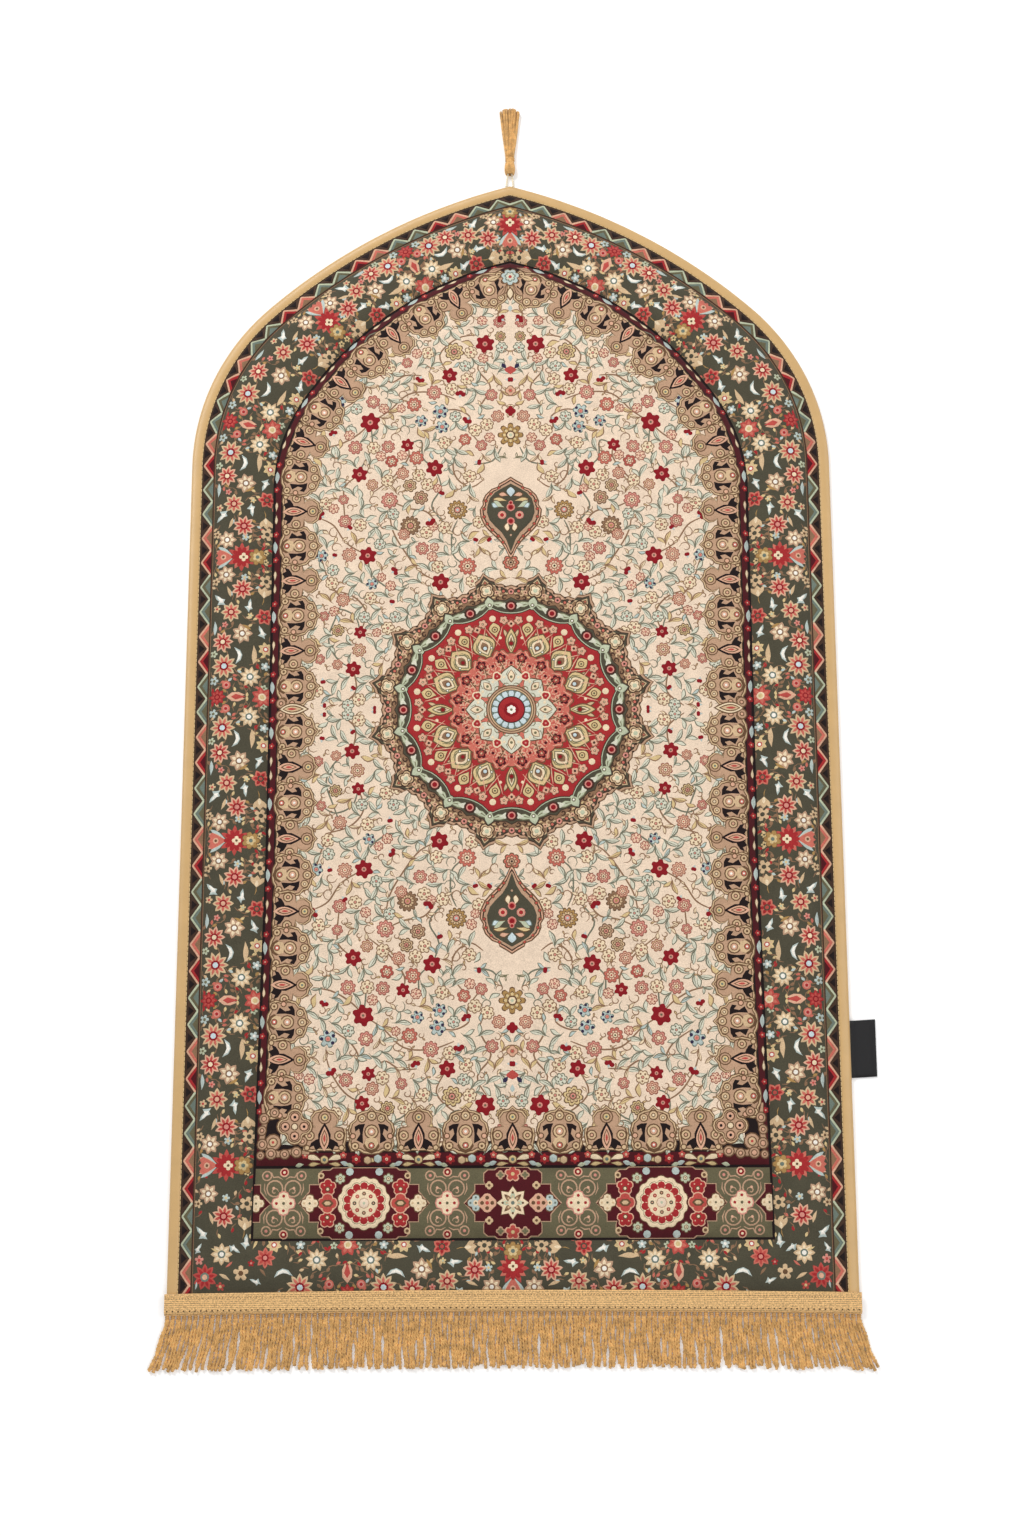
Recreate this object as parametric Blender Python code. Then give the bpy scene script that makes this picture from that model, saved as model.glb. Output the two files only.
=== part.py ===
"""Padded prayer rug with an arched top, edge binding, fringe, tassel and side label.

The rug lies on the plane z = 0. +Y runs up to the point of the arch and +X to
the right. Units are metres. The origin is under the middle of the whole outline.
"""
import math
import random

import bmesh
import bpy
from mathutils.geometry import delaunay_2d_cdt

# ---- driving dimensions -------------------------------------------------------
HALF_WIDTH = 0.350           # rug over the bindings
GAP = 0.0003                 # between pieces that touch

# outer arch: a tight shoulder arc, then a flatter arc up to the point
OUTER_SPRING = 0.2645        # where the straight sides end
OUTER_SHOULDER_RADIUS = 0.2522
OUTER_SHOULDER_TURN = 47.15  # degrees
OUTER_UPPER_RADIUS = 0.640

# sewn line round the field and the cross panel
INNER_HALF_WIDTH = 0.2582
INNER_SPRING = 0.2355
INNER_SHOULDER_RADIUS = 0.1905
INNER_SHOULDER_TURN = 31.55
INNER_UPPER_RADIUS = 0.3759
FLARE = 0.0063               # the line stands this much wider at its foot
FLARE_TOP = -0.170           # and starts to widen here
PANEL_BOTTOM = -0.566
FIELD_BOTTOM = -0.494

# foot of the rug, under the heading tape
HEADING_TOP = -0.6158        # upper edge of the tape on the axis
FOOT_BOW = 0.0034            # the tape's ends hang this much lower
FOOT_EDGE = 0.0160           # rug cloth ends this far below the tape's upper edge

# heights of the padding
TROUGH = 0.0065              # at the bottom of a sewn line
GUARD_CROWN = 0.0100
BORDER_CROWN = 0.0140
PANEL_CROWN = 0.0135
FIELD_CROWN = 0.0150
SEAM_REACH = 0.022           # the padding is at full height this far from a seam
UNEVEN = 0.0005

# edge binding, a C section folded over the thin rim of the rug
BINDING_WIDTH = 0.0110
BINDING_HEIGHT = 0.0060
BINDING_CLOTH = 0.0010
BINDING_STEPS = (4, 13, 18)  # up the side, round the shoulder, along the upper arc
GUARD_SEAM = 0.0265          # sewn line inside the outer edge
RIM_WIDTH = BINDING_WIDTH + 0.0010
RIM_TOP = BINDING_HEIGHT - BINDING_CLOTH - GAP
RIM_BOTTOM = BINDING_CLOTH + GAP
RIM_INSET = 0.0024
FOOT_TOP = 0.0059            # rug cloth under the heading tape
FOOT_RISE = 0.015

# fringe
TAPE_HALF_LENGTH = 0.3515
TAPE_WIDTH = 0.0216
TAPE_CLOTH = 0.0015
TAPE_FOLD = 0.0004           # the folded upper edge stands this much higher
TAPE_UNDERSIDE = BINDING_HEIGHT + GAP
KNOTS = 123
KNOT_WIDTH = 0.0028
KNOT_DROP = 0.0085           # strands part this far below the tape
STRAND_WIDTH = 0.0017
STRAND_HEIGHT = 0.0016
STRAND_TIP = -0.6903
STRAND_UNEVEN = 0.0018
FRINGE_FLARE = 0.016         # the end strands splay out by this much

# tassel and its loop
CORD_RADIUS = 0.00125
LOOP_FOOT = 0.5990
LOOP_TOP = 0.6180
LOOP_FOOT_HALF = 0.0038
LOOP_EYE_HALF = 0.0023
LOOP_EYE_HEIGHT = 0.0038
SKIRT_ROOT = 0.6315
SKIRT_TIP = 0.6953
SKIRT_LOCKS = 9              # across the skirt
SKIRT_LAYERS = 3
SKIRT_ROOT_HALF = 0.0056
SKIRT_TIP_HALF = 0.0122
LOCK_HEIGHT = 0.0011
LAYER_RISE = 0.00145

# bare side label
LABEL_TOP = -0.3457
LABEL_LENGTH = 0.0590
LABEL_REACH = 0.0265
LABEL_SLANT = 0.0016
LABEL_CLOTH = 0.0012
LABEL_ROOT_HEIGHT = 0.0030

ROW_STEP = 0.0215            # distance between points along a row

#              name             red    green  blue   roughness
COLOURS = {
    "rug_cloth":     ((0.420, 0.300, 0.200), 0.85),
    "gold_satin":    ((0.560, 0.370, 0.150), 0.45),
    "gold_yarn":     ((0.600, 0.370, 0.140), 0.70),
    "cream_cord":    ((0.780, 0.700, 0.560), 0.75),
    "black_ribbon":  ((0.012, 0.012, 0.014), 0.60),
}


# ---- outline ------------------------------------------------------------------
class Arch:
    """A pointed arch on straight sides, drawn for x >= 0."""

    def __init__(self, half_width, spring, shoulder_radius, turn, upper_radius):
        self.half_width = half_width
        self.spring = spring
        self.shoulder_radius = shoulder_radius
        self.upper_radius = upper_radius
        self.turn = math.radians(turn)
        self.shoulder_x = half_width - shoulder_radius
        inward = upper_radius - shoulder_radius
        self.upper_x = self.shoulder_x - inward * math.cos(self.turn)
        self.upper_y = spring - inward * math.sin(self.turn)

    def depth(self, x, y):
        """How far a point is inside the arch; negative outside."""
        x = abs(x)
        if y <= self.spring:
            return self.half_width - x
        if math.atan2(y - self.spring, x - self.shoulder_x) <= self.turn:
            return self.shoulder_radius - math.hypot(x - self.shoulder_x, y - self.spring)
        return self.upper_radius - math.hypot(x - self.upper_x, y - self.upper_y)

    def steps(self, bottom, spacing):
        """Steps up the side, round the shoulder and along the upper arc."""
        upper = self.upper_radius * (math.acos(-self.upper_x / self.upper_radius) - self.turn)
        lengths = (self.spring - bottom, self.shoulder_radius * self.turn, upper)
        return [max(1, round(length / spacing)) for length in lengths]

    def right_half(self, inset, bottom, steps):
        """Points from the foot of the right side up to the axis."""
        side, shoulder, upper = steps
        points = line_points((self.half_width - inset, bottom),
                             (self.half_width - inset, self.spring), side)
        points += arc_points((self.shoulder_x, self.spring),
                             self.shoulder_radius - inset, 0.0, self.turn, shoulder)[1:]
        radius = self.upper_radius - inset
        last = math.acos(-self.upper_x / radius)
        points += arc_points((self.upper_x, self.upper_y), radius, self.turn, last, upper)[1:]
        return points


def line_points(start, end, steps):
    return [(start[0] + (end[0] - start[0]) * i / steps,
             start[1] + (end[1] - start[1]) * i / steps) for i in range(steps + 1)]


def arc_points(centre, radius, first, last, steps):
    angles = [first + (last - first) * i / steps for i in range(steps + 1)]
    return [(centre[0] + radius * math.cos(a), centre[1] + radius * math.sin(a)) for a in angles]


def mirrored(points):
    """Adds the left half to a right half that ends on the axis."""
    return points + [(-x, y) for x, y in reversed(points[:-1])]


def clamped(value):
    return min(1.0, max(0.0, value))


def flare(y):
    return FLARE * clamped((FLARE_TOP - y) / (FLARE_TOP - PANEL_BOTTOM))


def heading_line(x):
    """Upper edge of the heading tape."""
    return HEADING_TOP - FOOT_BOW * (x / HALF_WIDTH) ** 2


OUTER = Arch(HALF_WIDTH, OUTER_SPRING, OUTER_SHOULDER_RADIUS,
             OUTER_SHOULDER_TURN, OUTER_UPPER_RADIUS)
INNER = Arch(INNER_HALF_WIDTH, INNER_SPRING, INNER_SHOULDER_RADIUS,
             INNER_SHOULDER_TURN, INNER_UPPER_RADIUS)


# ---- padding ------------------------------------------------------------------
def pocket(x, y):
    """Crown of the sewn pocket at (x, y) and the distance to its nearest seam."""
    side = OUTER.depth(x, y)
    field = INNER.depth(abs(x) - flare(y), y)
    foot = y - heading_line(x)
    if side < GUARD_SEAM:
        return GUARD_CROWN, min(side - RIM_WIDTH, GUARD_SEAM - side, foot)
    if field < 0.0 or y < PANEL_BOTTOM:
        return BORDER_CROWN, min(side - GUARD_SEAM, max(-field, PANEL_BOTTOM - y), foot)
    if y < FIELD_BOTTOM:
        return PANEL_CROWN, min(field, y - PANEL_BOTTOM, FIELD_BOTTOM - y)
    return FIELD_CROWN, min(field, y - FIELD_BOTTOM)


def pad_height(x, y):
    """Height of the rug's upper face."""
    crown, gap = pocket(x, y)
    from_side = clamped((OUTER.depth(x, y) - RIM_WIDTH) / (GUARD_SEAM - RIM_WIDTH))
    from_foot = clamped((y - heading_line(x)) / FOOT_RISE)
    base = FOOT_TOP + (TROUGH - FOOT_TOP) * from_foot
    base = RIM_TOP + (base - RIM_TOP) * from_side
    puff = 1.0 - (1.0 - clamped(gap / SEAM_REACH)) ** 2.3
    wave = math.sin(31.0 * x + 3.0 * math.sin(9.0 * y)) * math.sin(23.0 * y + 1.0)
    return base + (crown - base + UNEVEN * wave) * puff


# ---- mesh helpers -------------------------------------------------------------
def make_material(name):
    colour, roughness = COLOURS[name]
    material = bpy.data.materials.new(name)
    material.use_nodes = True
    shader = material.node_tree.nodes["Principled BSDF"]
    shader.inputs["Base Color"].default_value = (*colour, 1.0)
    shader.inputs["Roughness"].default_value = roughness
    return material


def add_object(name, shape, material):
    """Turns a bmesh into an object with outward faces."""
    bmesh.ops.recalc_face_normals(shape, faces=shape.faces)
    mesh = bpy.data.meshes.new(name)
    shape.to_mesh(mesh)
    shape.free()
    mesh.materials.append(MATERIALS[material])
    made = bpy.data.objects.new(name, mesh)
    RUG.objects.link(made)
    return made


def join_rings(shape, rings):
    """Side faces between rings that have the same number of vertices."""
    for lower, upper in zip(rings, rings[1:]):
        for i in range(len(lower)):
            j = (i + 1) % len(lower)
            shape.faces.new((lower[i], lower[j], upper[j], upper[i]))


def add_loft(shape, rings):
    """A closed body through rings of points, with a face on each end ring."""
    vertices = [[shape.verts.new(point) for point in ring] for ring in rings]
    join_rings(shape, vertices)
    shape.faces.new(vertices[0])
    shape.faces.new(vertices[-1])


def union(target, other):
    """Fuses another object into the target and removes it."""
    step = target.modifiers.new("union", "BOOLEAN")
    step.operation = "UNION"
    step.object = other
    step.use_self = True
    apply_modifiers(target)
    bpy.data.objects.remove(other)


def apply_modifiers(target):
    graph = bpy.context.evaluated_depsgraph_get()
    mesh = bpy.data.meshes.new_from_object(target.evaluated_get(graph))
    target.modifiers.clear()
    target.data = mesh


# ---- rug pad ------------------------------------------------------------------
def row_steps(length):
    return max(1, round(length / ROW_STEP))


def foot_points(half, drop):
    """Points along the foot from left to right, drop below the tape's upper edge."""
    lip = half * (HALF_WIDTH - RIM_WIDTH) / (HALF_WIDTH - RIM_INSET)
    xs = [x for x, _ in line_points((-lip, 0), (lip, 0), row_steps(2.0 * HALF_WIDTH))]
    return [(x, heading_line(x) - drop) for x in [-half, *xs, half]]


def outer_arch(inset, bottom):
    """Up the right side, over the arch and down the left side."""
    steps = OUTER.steps(heading_line(HALF_WIDTH), ROW_STEP)
    return mirrored(OUTER.right_half(inset, bottom, steps))


def pad_outline(inset, foot_drop):
    """Closed outline of the rug cloth: right side, arch, left side, foot."""
    half = HALF_WIDTH - inset
    return outer_arch(inset, heading_line(half) - foot_drop) + foot_points(half, foot_drop)[1:-1]


def side_row(inset, drop=-0.0010):
    """A row that follows the outer edge from the foot round the arch."""
    return outer_arch(inset, heading_line(HALF_WIDTH) - drop)


def border_row(beyond):
    """Closed row in the main border, the same distance inside its outer seam."""
    half = HALF_WIDTH - GUARD_SEAM - beyond
    arch = outer_arch(GUARD_SEAM + beyond, heading_line(half) + beyond)
    return arch + foot_points(half, -beyond)[1:]


def closed_row(half_row):
    """Widens a row with the flare of the inner line and closes it along its foot."""
    row = [(x + math.copysign(flare(y), x), y) for x, y in half_row]
    return row + line_points(row[-1], row[0], row_steps(math.dist(row[-1], row[0])))[1:]


def field_row(inset, bottom):
    """Closed row beside the line round the field."""
    return closed_row(mirrored(INNER.right_half(inset, bottom, INNER.steps(bottom, ROW_STEP))))


def panel_row(inset):
    """Closed row inside the cross panel."""
    half = INNER_HALF_WIDTH - inset
    bottom = PANEL_BOTTOM + inset
    top = FIELD_BOTTOM - inset
    side = row_steps(top - bottom)
    row = line_points((half, bottom), (half, top), side)
    row += line_points((half, top), (-half, top), row_steps(2.0 * half))[1:]
    row += line_points((-half, top), (-half, bottom), side)[1:]
    return closed_row(row)


def field_points():
    """Sparse points in the middle of the field."""
    spacing = 0.050
    points = []
    for i in range(-5, 6):
        for j in range(-10, 10):
            x = spacing * (i + 0.5 * (j % 2))
            y = spacing * j
            if INNER.depth(x, y) > 0.040 and y > FIELD_BOTTOM + 0.040:
                points.append((x, y))
    return points


def pad_rows():
    """All rows of points on the upper face, apart from its outline."""
    rows = [side_row(RIM_WIDTH, FOOT_EDGE - 0.0010)]
    rows += [side_row(inset) for inset in (0.0150, 0.0192, 0.0236, GUARD_SEAM)]
    rows.append(foot_points(HALF_WIDTH - RIM_WIDTH, 0.0))
    rows += [border_row(beyond) for beyond in (0.003, 0.009, 0.020)]
    rows += [field_row(-out, PANEL_BOTTOM - out) for out in (0.020, 0.009, 0.003)]
    rows.append(field_row(0.0, PANEL_BOTTOM))
    rows += [field_row(inset, FIELD_BOTTOM + inset) for inset in (0.0, 0.003, 0.009, 0.020)]
    rows += [panel_row(inset) for inset in (0.003, 0.009, 0.020)]
    return rows


def triangulated_top(outline):
    """Delaunay triangles through the outline and every row."""
    points = list(outline)
    edges = [(i, (i + 1) % len(outline)) for i in range(len(outline))]
    for row in pad_rows():
        first = len(points)
        points += row
        edges += [(first + i, first + i + 1) for i in range(len(row) - 1)]
    points += field_points()
    return delaunay_2d_cdt(points, edges, [], 1, 1e-6)


def build_pad():
    """Rug cloth and padding: sewn upper face, thin rim, flat underside."""
    outline = pad_outline(RIM_INSET, FOOT_EDGE)
    points, _, triangles, sources, _, _ = triangulated_top(outline)
    shape = bmesh.new()
    top = [shape.verts.new((x, y, pad_height(x, y))) for x, y in points]
    for triangle in triangles:
        shape.faces.new([top[i] for i in triangle])
    rim = [None] * len(outline)
    for vertex, origin in zip(top, sources):
        for index in origin:
            if index < len(outline):
                rim[index] = vertex
    inner = pad_outline(RIM_WIDTH + 0.0005, FOOT_EDGE - 0.0030)
    rings = [rim]
    for ring, height in ((outline, RIM_BOTTOM), (inner, RIM_BOTTOM), (inner, 0.0)):
        rings.append([shape.verts.new((x, y, height)) for x, y in ring])
    join_rings(shape, rings)
    shape.faces.new(rings[-1])
    return add_object("rug_pad", shape, "rug_cloth")


# ---- edge binding -------------------------------------------------------------
def binding_section():
    """C section as (inset from the outer edge, height), starting at the upper lip."""
    mid = 0.5 * BINDING_HEIGHT
    outer = [(0.0030, 0.0), (0.0011, 0.0006), (0.0002, 0.0018)]
    inner_half = mid - BINDING_CLOTH
    inner = [(0.0020, 0.0), (0.0014, 0.0006)]
    lip = BINDING_WIDTH
    section = [(lip, BINDING_HEIGHT - BINDING_CLOTH), (lip, BINDING_HEIGHT)]
    section += [(inset, BINDING_HEIGHT - drop) for inset, drop in outer]
    section += [(0.0, mid)]
    section += [(inset, drop) for inset, drop in reversed(outer)]
    section += [(lip, 0.0), (lip, BINDING_CLOTH)]
    section += [(inset, mid - inner_half + drop) for inset, drop in inner]
    section += [(0.0012, mid)]
    section += [(inset, mid + inner_half - drop) for inset, drop in reversed(inner)]
    return section


def binding_paths(section):
    """One path for each point of the section, all with the same number of points."""
    bottom = heading_line(HALF_WIDTH) - FOOT_EDGE
    paths = []
    for inset, height in section:
        path = mirrored(OUTER.right_half(inset, bottom, BINDING_STEPS))
        paths.append([(x, y, height) for x, y in path])
    return paths


def build_binding():
    """Satin tape folded over the rim, from foot to foot round the arch."""
    shape = bmesh.new()
    rings = [list(ring) for ring in zip(*binding_paths(binding_section()))]
    add_loft(shape, rings)
    return add_object("edge_binding", shape, "gold_satin")


# ---- fringe -------------------------------------------------------------------
def tape_section():
    """Heading tape as (drop below its upper edge, height)."""
    under = TAPE_UNDERSIDE
    over = under + TAPE_CLOTH
    return [
        (0.0000, under),
        (0.0000, over + TAPE_FOLD),
        (0.0024, over + TAPE_FOLD),
        (0.0029, over),
        (0.0168, over),
        (0.0200, over - 0.0019),
        (TAPE_WIDTH, 0.0030),
        (0.0212, 0.0010),
        (0.0198, 0.0014),
        (0.0184, over - 0.0034),
        (0.0166, under),
    ]


def build_tape():
    """Heading tape: over the foot of the rug and down to the floor."""
    shape = bmesh.new()
    rings = []
    for x, _ in line_points((-TAPE_HALF_LENGTH, 0), (TAPE_HALF_LENGTH, 0), 38):
        rings.append([(x, heading_line(x) - drop, height) for drop, height in tape_section()])
    add_loft(shape, rings)
    return add_object("fringe", shape, "gold_yarn")


def strip_ring(x, y, width, bottom, top):
    """Four corners across a knot or a lock of yarn."""
    half = 0.5 * width
    return [(x - half, y, bottom), (x + half, y, bottom), (x + half, y, top), (x - half, y, top)]


def strand_ring(x, y, scale=1.0):
    """Three corners across a single yarn, its flat side on the floor."""
    half = 0.5 * STRAND_WIDTH * scale
    return [(x - half, y, 0.0), (x + half, y, 0.0), (x, y, STRAND_HEIGHT * scale)]


def add_knot(shape, x, y, splay):
    """Short twisted neck below the tape, from inside it down to the floor."""
    add_loft(shape, [
        strip_ring(x, y + 0.0010, KNOT_WIDTH, 0.0014, 0.0028),
        strip_ring(x + 0.2 * splay, y - KNOT_DROP, KNOT_WIDTH + 0.0002, 0.0, 0.0018),
    ])


def add_strand(shape, x, y, side, splay, draw):
    """One yarn, lying level on the floor from its knot to its tip."""
    spread = 0.25 * 2.0 * TAPE_HALF_LENGTH / KNOTS
    root = x + 0.2 * splay + side * 0.25 * KNOT_WIDTH
    middle = x + 0.55 * splay + side * spread + draw.uniform(-1, 1) * 0.0003
    tip = x + splay + side * spread + draw.uniform(-1, 1) * 0.0003
    end = STRAND_TIP - FOOT_BOW * (x / HALF_WIDTH) ** 2 + draw.uniform(-1, 1) * STRAND_UNEVEN
    start = y - KNOT_DROP + 0.0010
    add_loft(shape, [
        strand_ring(root, start),
        strand_ring(middle, 0.5 * (start + end)),
        strand_ring(tip, end, 0.75),
    ])


def build_fringe():
    """Heading tape with its row of knots, two yarns from each."""
    tape = build_tape()
    draw = random.Random(7)
    knots = bmesh.new()
    strands = bmesh.new()
    pitch = 2.0 * TAPE_HALF_LENGTH / KNOTS
    for i in range(KNOTS):
        x = pitch * (i - 0.5 * (KNOTS - 1))
        y = heading_line(x) - TAPE_WIDTH
        splay = math.copysign(FRINGE_FLARE * abs(x / HALF_WIDTH) ** 4, x)
        add_knot(knots, x, y, splay)
        for side in (-1, 1):
            add_strand(strands, x, y, side, splay, draw)
    union(tape, add_object("knots", knots, "gold_yarn"))
    union(tape, add_object("strands", strands, "gold_yarn"))
    return tape


# ---- tassel -------------------------------------------------------------------
def loop_route():
    """Middle of the cord: up the right leg, round the eye, down the left leg."""
    leg = [(LOOP_FOOT_HALF, LOOP_FOOT, CORD_RADIUS),
           (0.0036, 0.6035, CORD_RADIUS),
           (0.0029, 0.6085, 0.0022),
           (LOOP_EYE_HALF, 0.6130, LOOP_EYE_HEIGHT)]
    centre = LOOP_TOP - CORD_RADIUS - LOOP_EYE_HALF
    for degrees in (0, 30, 60):
        angle = math.radians(degrees)
        leg.append((LOOP_EYE_HALF * math.cos(angle),
                    centre + LOOP_EYE_HALF * math.sin(angle), LOOP_EYE_HEIGHT))
    top = (0.0, centre + LOOP_EYE_HALF, LOOP_EYE_HEIGHT)
    return leg + [top] + [(-x, y, z) for x, y, z in reversed(leg)]


def add_cord(name, radius, material):
    """The loop's route as a round cord with capped ends, made a mesh."""
    data = bpy.data.curves.new(name, "CURVE")
    data.dimensions = "3D"
    data.bevel_depth = radius
    data.bevel_resolution = 2
    data.use_fill_caps = True
    route = loop_route()
    spline = data.splines.new("POLY")
    spline.points.add(len(route) - 1)
    for point, place in zip(spline.points, route):
        point.co = (*place, 1.0)
    cord = bpy.data.objects.new(name + "_route", data)
    RUG.objects.link(cord)
    graph = bpy.context.evaluated_depsgraph_get()
    shape = bmesh.new()
    shape.from_mesh(bpy.data.meshes.new_from_object(cord.evaluated_get(graph)))
    bmesh.ops.remove_doubles(shape, verts=shape.verts, dist=0.00001)
    bpy.data.objects.remove(cord)
    return add_object(name, shape, material)


#              y       half width  half height
HEAD_RINGS = [
    (0.6122, 0.0050, 0.0036),
    (0.6145, 0.0062, 0.0041),
    (0.6180, 0.0066, 0.0043),
    (0.6230, 0.0060, 0.0042),
    (0.6280, 0.0050, 0.0034),
    (0.6315, 0.0047, 0.0026),
    (0.6335, 0.0061, 0.0024),
]


def build_tassel_head():
    """Bound yarns folded over the cord, with the cord's own way through them."""
    shape = bmesh.new()
    rings = []
    for y, half_width, half_height in HEAD_RINGS:
        ring = []
        for i in range(14):
            angle = math.tau * i / 14
            height = half_height * (1.0 + math.sin(angle))
            ring.append((half_width * math.cos(angle), y, height))
        rings.append(ring)
    add_loft(shape, rings)
    head = add_object("tassel", shape, "gold_yarn")
    cutter = add_cord("cord_way", CORD_RADIUS + GAP, "gold_yarn")
    step = head.modifiers.new("cord_way", "BOOLEAN")
    step.operation = "DIFFERENCE"
    step.object = cutter
    apply_modifiers(head)
    bpy.data.objects.remove(cutter)
    return head


def add_locks(shape):
    """Skirt of the tassel: layers of yarn locks that spread towards their tips."""
    draw = random.Random(3)
    for layer in range(SKIRT_LAYERS):
        bottom = layer * LAYER_RISE
        top = bottom + LOCK_HEIGHT
        narrow = 1.0 - 0.10 * layer
        for i in range(SKIRT_LOCKS):
            across = (i - 0.5 * (SKIRT_LOCKS - 1)) / (0.5 * (SKIRT_LOCKS - 1))
            root = across * (SKIRT_ROOT_HALF - 0.0007)
            tip = across * SKIRT_TIP_HALF * narrow
            length = SKIRT_TIP - SKIRT_ROOT - 0.0045 * abs(across) ** 2
            length -= 0.0016 * layer + draw.uniform(0.0, 1.0) * 0.0012
            add_loft(shape, [
                strip_ring(root, SKIRT_ROOT, 0.0010, bottom, top),
                strip_ring(0.75 * root + 0.25 * tip, SKIRT_ROOT + 0.3 * length, 0.0013, bottom, top),
                strip_ring(tip, SKIRT_ROOT + length, 0.0017, bottom, top),
            ])


def build_tassel():
    """Head and skirt in one piece."""
    head = build_tassel_head()
    locks = bmesh.new()
    add_locks(locks)
    union(head, add_object("locks", locks, "gold_yarn"))
    return head


# ---- side label ---------------------------------------------------------------
def build_label():
    """Bare ribbon tab that comes out beside the binding and drops to the floor."""
    shape = bmesh.new()
    root = HALF_WIDTH + GAP
    #        along x         underside height
    steps = [(0.0, LABEL_ROOT_HEIGHT - 0.5 * LABEL_CLOTH),
             (0.0030, 0.0016),
             (0.0065, 0.0),
             (LABEL_REACH, 0.0)]
    rings = []
    for reach, under in steps:
        x = root + reach
        top = LABEL_TOP + LABEL_SLANT * reach / LABEL_REACH
        bottom = top - LABEL_LENGTH
        over = under + LABEL_CLOTH
        rings.append([(x, bottom, under), (x, top, under), (x, top, over), (x, bottom, over)])
    add_loft(shape, rings)
    return add_object("side_label", shape, "black_ribbon")


# ---- the rug ------------------------------------------------------------------
for leftover in list(bpy.data.objects):
    bpy.data.objects.remove(leftover)
RUG = bpy.data.collections.new("prayer_rug")
bpy.context.scene.collection.children.link(RUG)
MATERIALS = {name: make_material(name) for name in COLOURS}

build_pad()
build_binding()
build_fringe()
add_cord("tassel_loop", CORD_RADIUS, "cream_cord")
build_tassel()
build_label()
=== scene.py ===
"""Looks of the arched prayer rug: patterned pile, satin binding, fringe, tassel and label.

Lengths are in metres unless a name says otherwise; motifs are drawn in millimetres.
+Y runs up to the point of the arch, +X to the side with the label.
"""

import math
import random

import bpy
import bmesh
import numpy as np
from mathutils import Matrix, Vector
from mathutils.geometry import delaunay_2d_cdt


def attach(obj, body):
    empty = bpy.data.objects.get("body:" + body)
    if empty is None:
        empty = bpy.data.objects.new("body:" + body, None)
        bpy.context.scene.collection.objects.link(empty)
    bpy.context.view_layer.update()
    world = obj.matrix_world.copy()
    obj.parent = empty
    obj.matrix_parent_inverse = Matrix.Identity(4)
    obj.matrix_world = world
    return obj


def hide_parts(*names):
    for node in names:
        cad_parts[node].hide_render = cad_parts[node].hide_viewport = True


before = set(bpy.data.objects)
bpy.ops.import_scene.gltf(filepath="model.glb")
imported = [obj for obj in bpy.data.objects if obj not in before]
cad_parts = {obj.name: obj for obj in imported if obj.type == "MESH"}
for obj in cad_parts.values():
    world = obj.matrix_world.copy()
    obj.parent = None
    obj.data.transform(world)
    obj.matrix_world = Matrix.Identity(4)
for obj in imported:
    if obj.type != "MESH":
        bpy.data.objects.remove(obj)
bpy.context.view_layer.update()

# ---- sizes of the rug, the same as its solids --------------------------------
HALF_WIDTH = 0.350
GUARD_SEAM = 0.0265          # sewn line inside the outer edge
BINDING_WIDTH = 0.0110
BINDING_HEIGHT = 0.0060
RIM_WIDTH = 0.0120
RIM_TOP = 0.0047
FOOT_TOP = 0.0059
FOOT_RISE = 0.015
FOOT_EDGE = 0.0160
HEADING_TOP = -0.6158
FOOT_BOW = 0.0034
PANEL_BOTTOM = -0.566
FIELD_BOTTOM = -0.494
FLARE = 0.0063
FLARE_TOP = -0.170
TROUGH = 0.0065
GUARD_CROWN = 0.0100
BORDER_CROWN = 0.0140
PANEL_CROWN = 0.0135
FIELD_CROWN = 0.0150
SEAM_REACH = 0.022
MEDALLION_Y = -0.015
FACE_LIFT = 0.0004           # the patterned pile over the padded body
FACE_FOOT = 0.004            # the faces end this far under the heading tape
OUTLINE_STEP = 0.006         # spacing of the points along an outline
TRACK_STEP = 0.003           # and along a line that motifs follow


# ---- outline ------------------------------------------------------------------
class Arch:
    """A pointed arch on straight sides; x is taken as positive."""

    def __init__(self, half_width, spring, shoulder_radius, turn, upper_radius):
        self.half_width = half_width
        self.spring = spring
        self.shoulder_radius = shoulder_radius
        self.upper_radius = upper_radius
        self.turn = math.radians(turn)
        self.shoulder_x = half_width - shoulder_radius
        inward = upper_radius - shoulder_radius
        self.upper_x = self.shoulder_x - inward * math.cos(self.turn)
        self.upper_y = spring - inward * math.sin(self.turn)

    def depth(self, x, y):
        """How far points are inside the arch; negative outside."""
        x = np.abs(x)
        angle = np.arctan2(y - self.spring, x - self.shoulder_x)
        shoulder = self.shoulder_radius - np.hypot(x - self.shoulder_x, y - self.spring)
        upper = self.upper_radius - np.hypot(x - self.upper_x, y - self.upper_y)
        side = self.half_width - x
        return np.where(y <= self.spring, side, np.where(angle <= self.turn, shoulder, upper))

    def right_half(self, inset, bottom, spacing):
        """Points from the foot of the right side up to the axis."""
        start = (self.half_width - inset, bottom)
        end = (self.half_width - inset, self.spring)
        points = line_points(start, end, spacing)
        points += arc_points((self.shoulder_x, self.spring), self.shoulder_radius - inset,
                             0.0, self.turn, spacing)[1:]
        radius = self.upper_radius - inset
        last = math.acos(-self.upper_x / radius)
        points += arc_points((self.upper_x, self.upper_y), radius, self.turn, last, spacing)[1:]
        return points

    def upper_point(self):
        """How far up the arch's point is."""
        return self.upper_y + math.sqrt(self.upper_radius ** 2 - self.upper_x ** 2)


def line_points(start, end, spacing):
    steps = max(1, round(math.dist(start, end) / spacing))
    return [(start[0] + (end[0] - start[0]) * i / steps,
             start[1] + (end[1] - start[1]) * i / steps) for i in range(steps + 1)]


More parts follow.
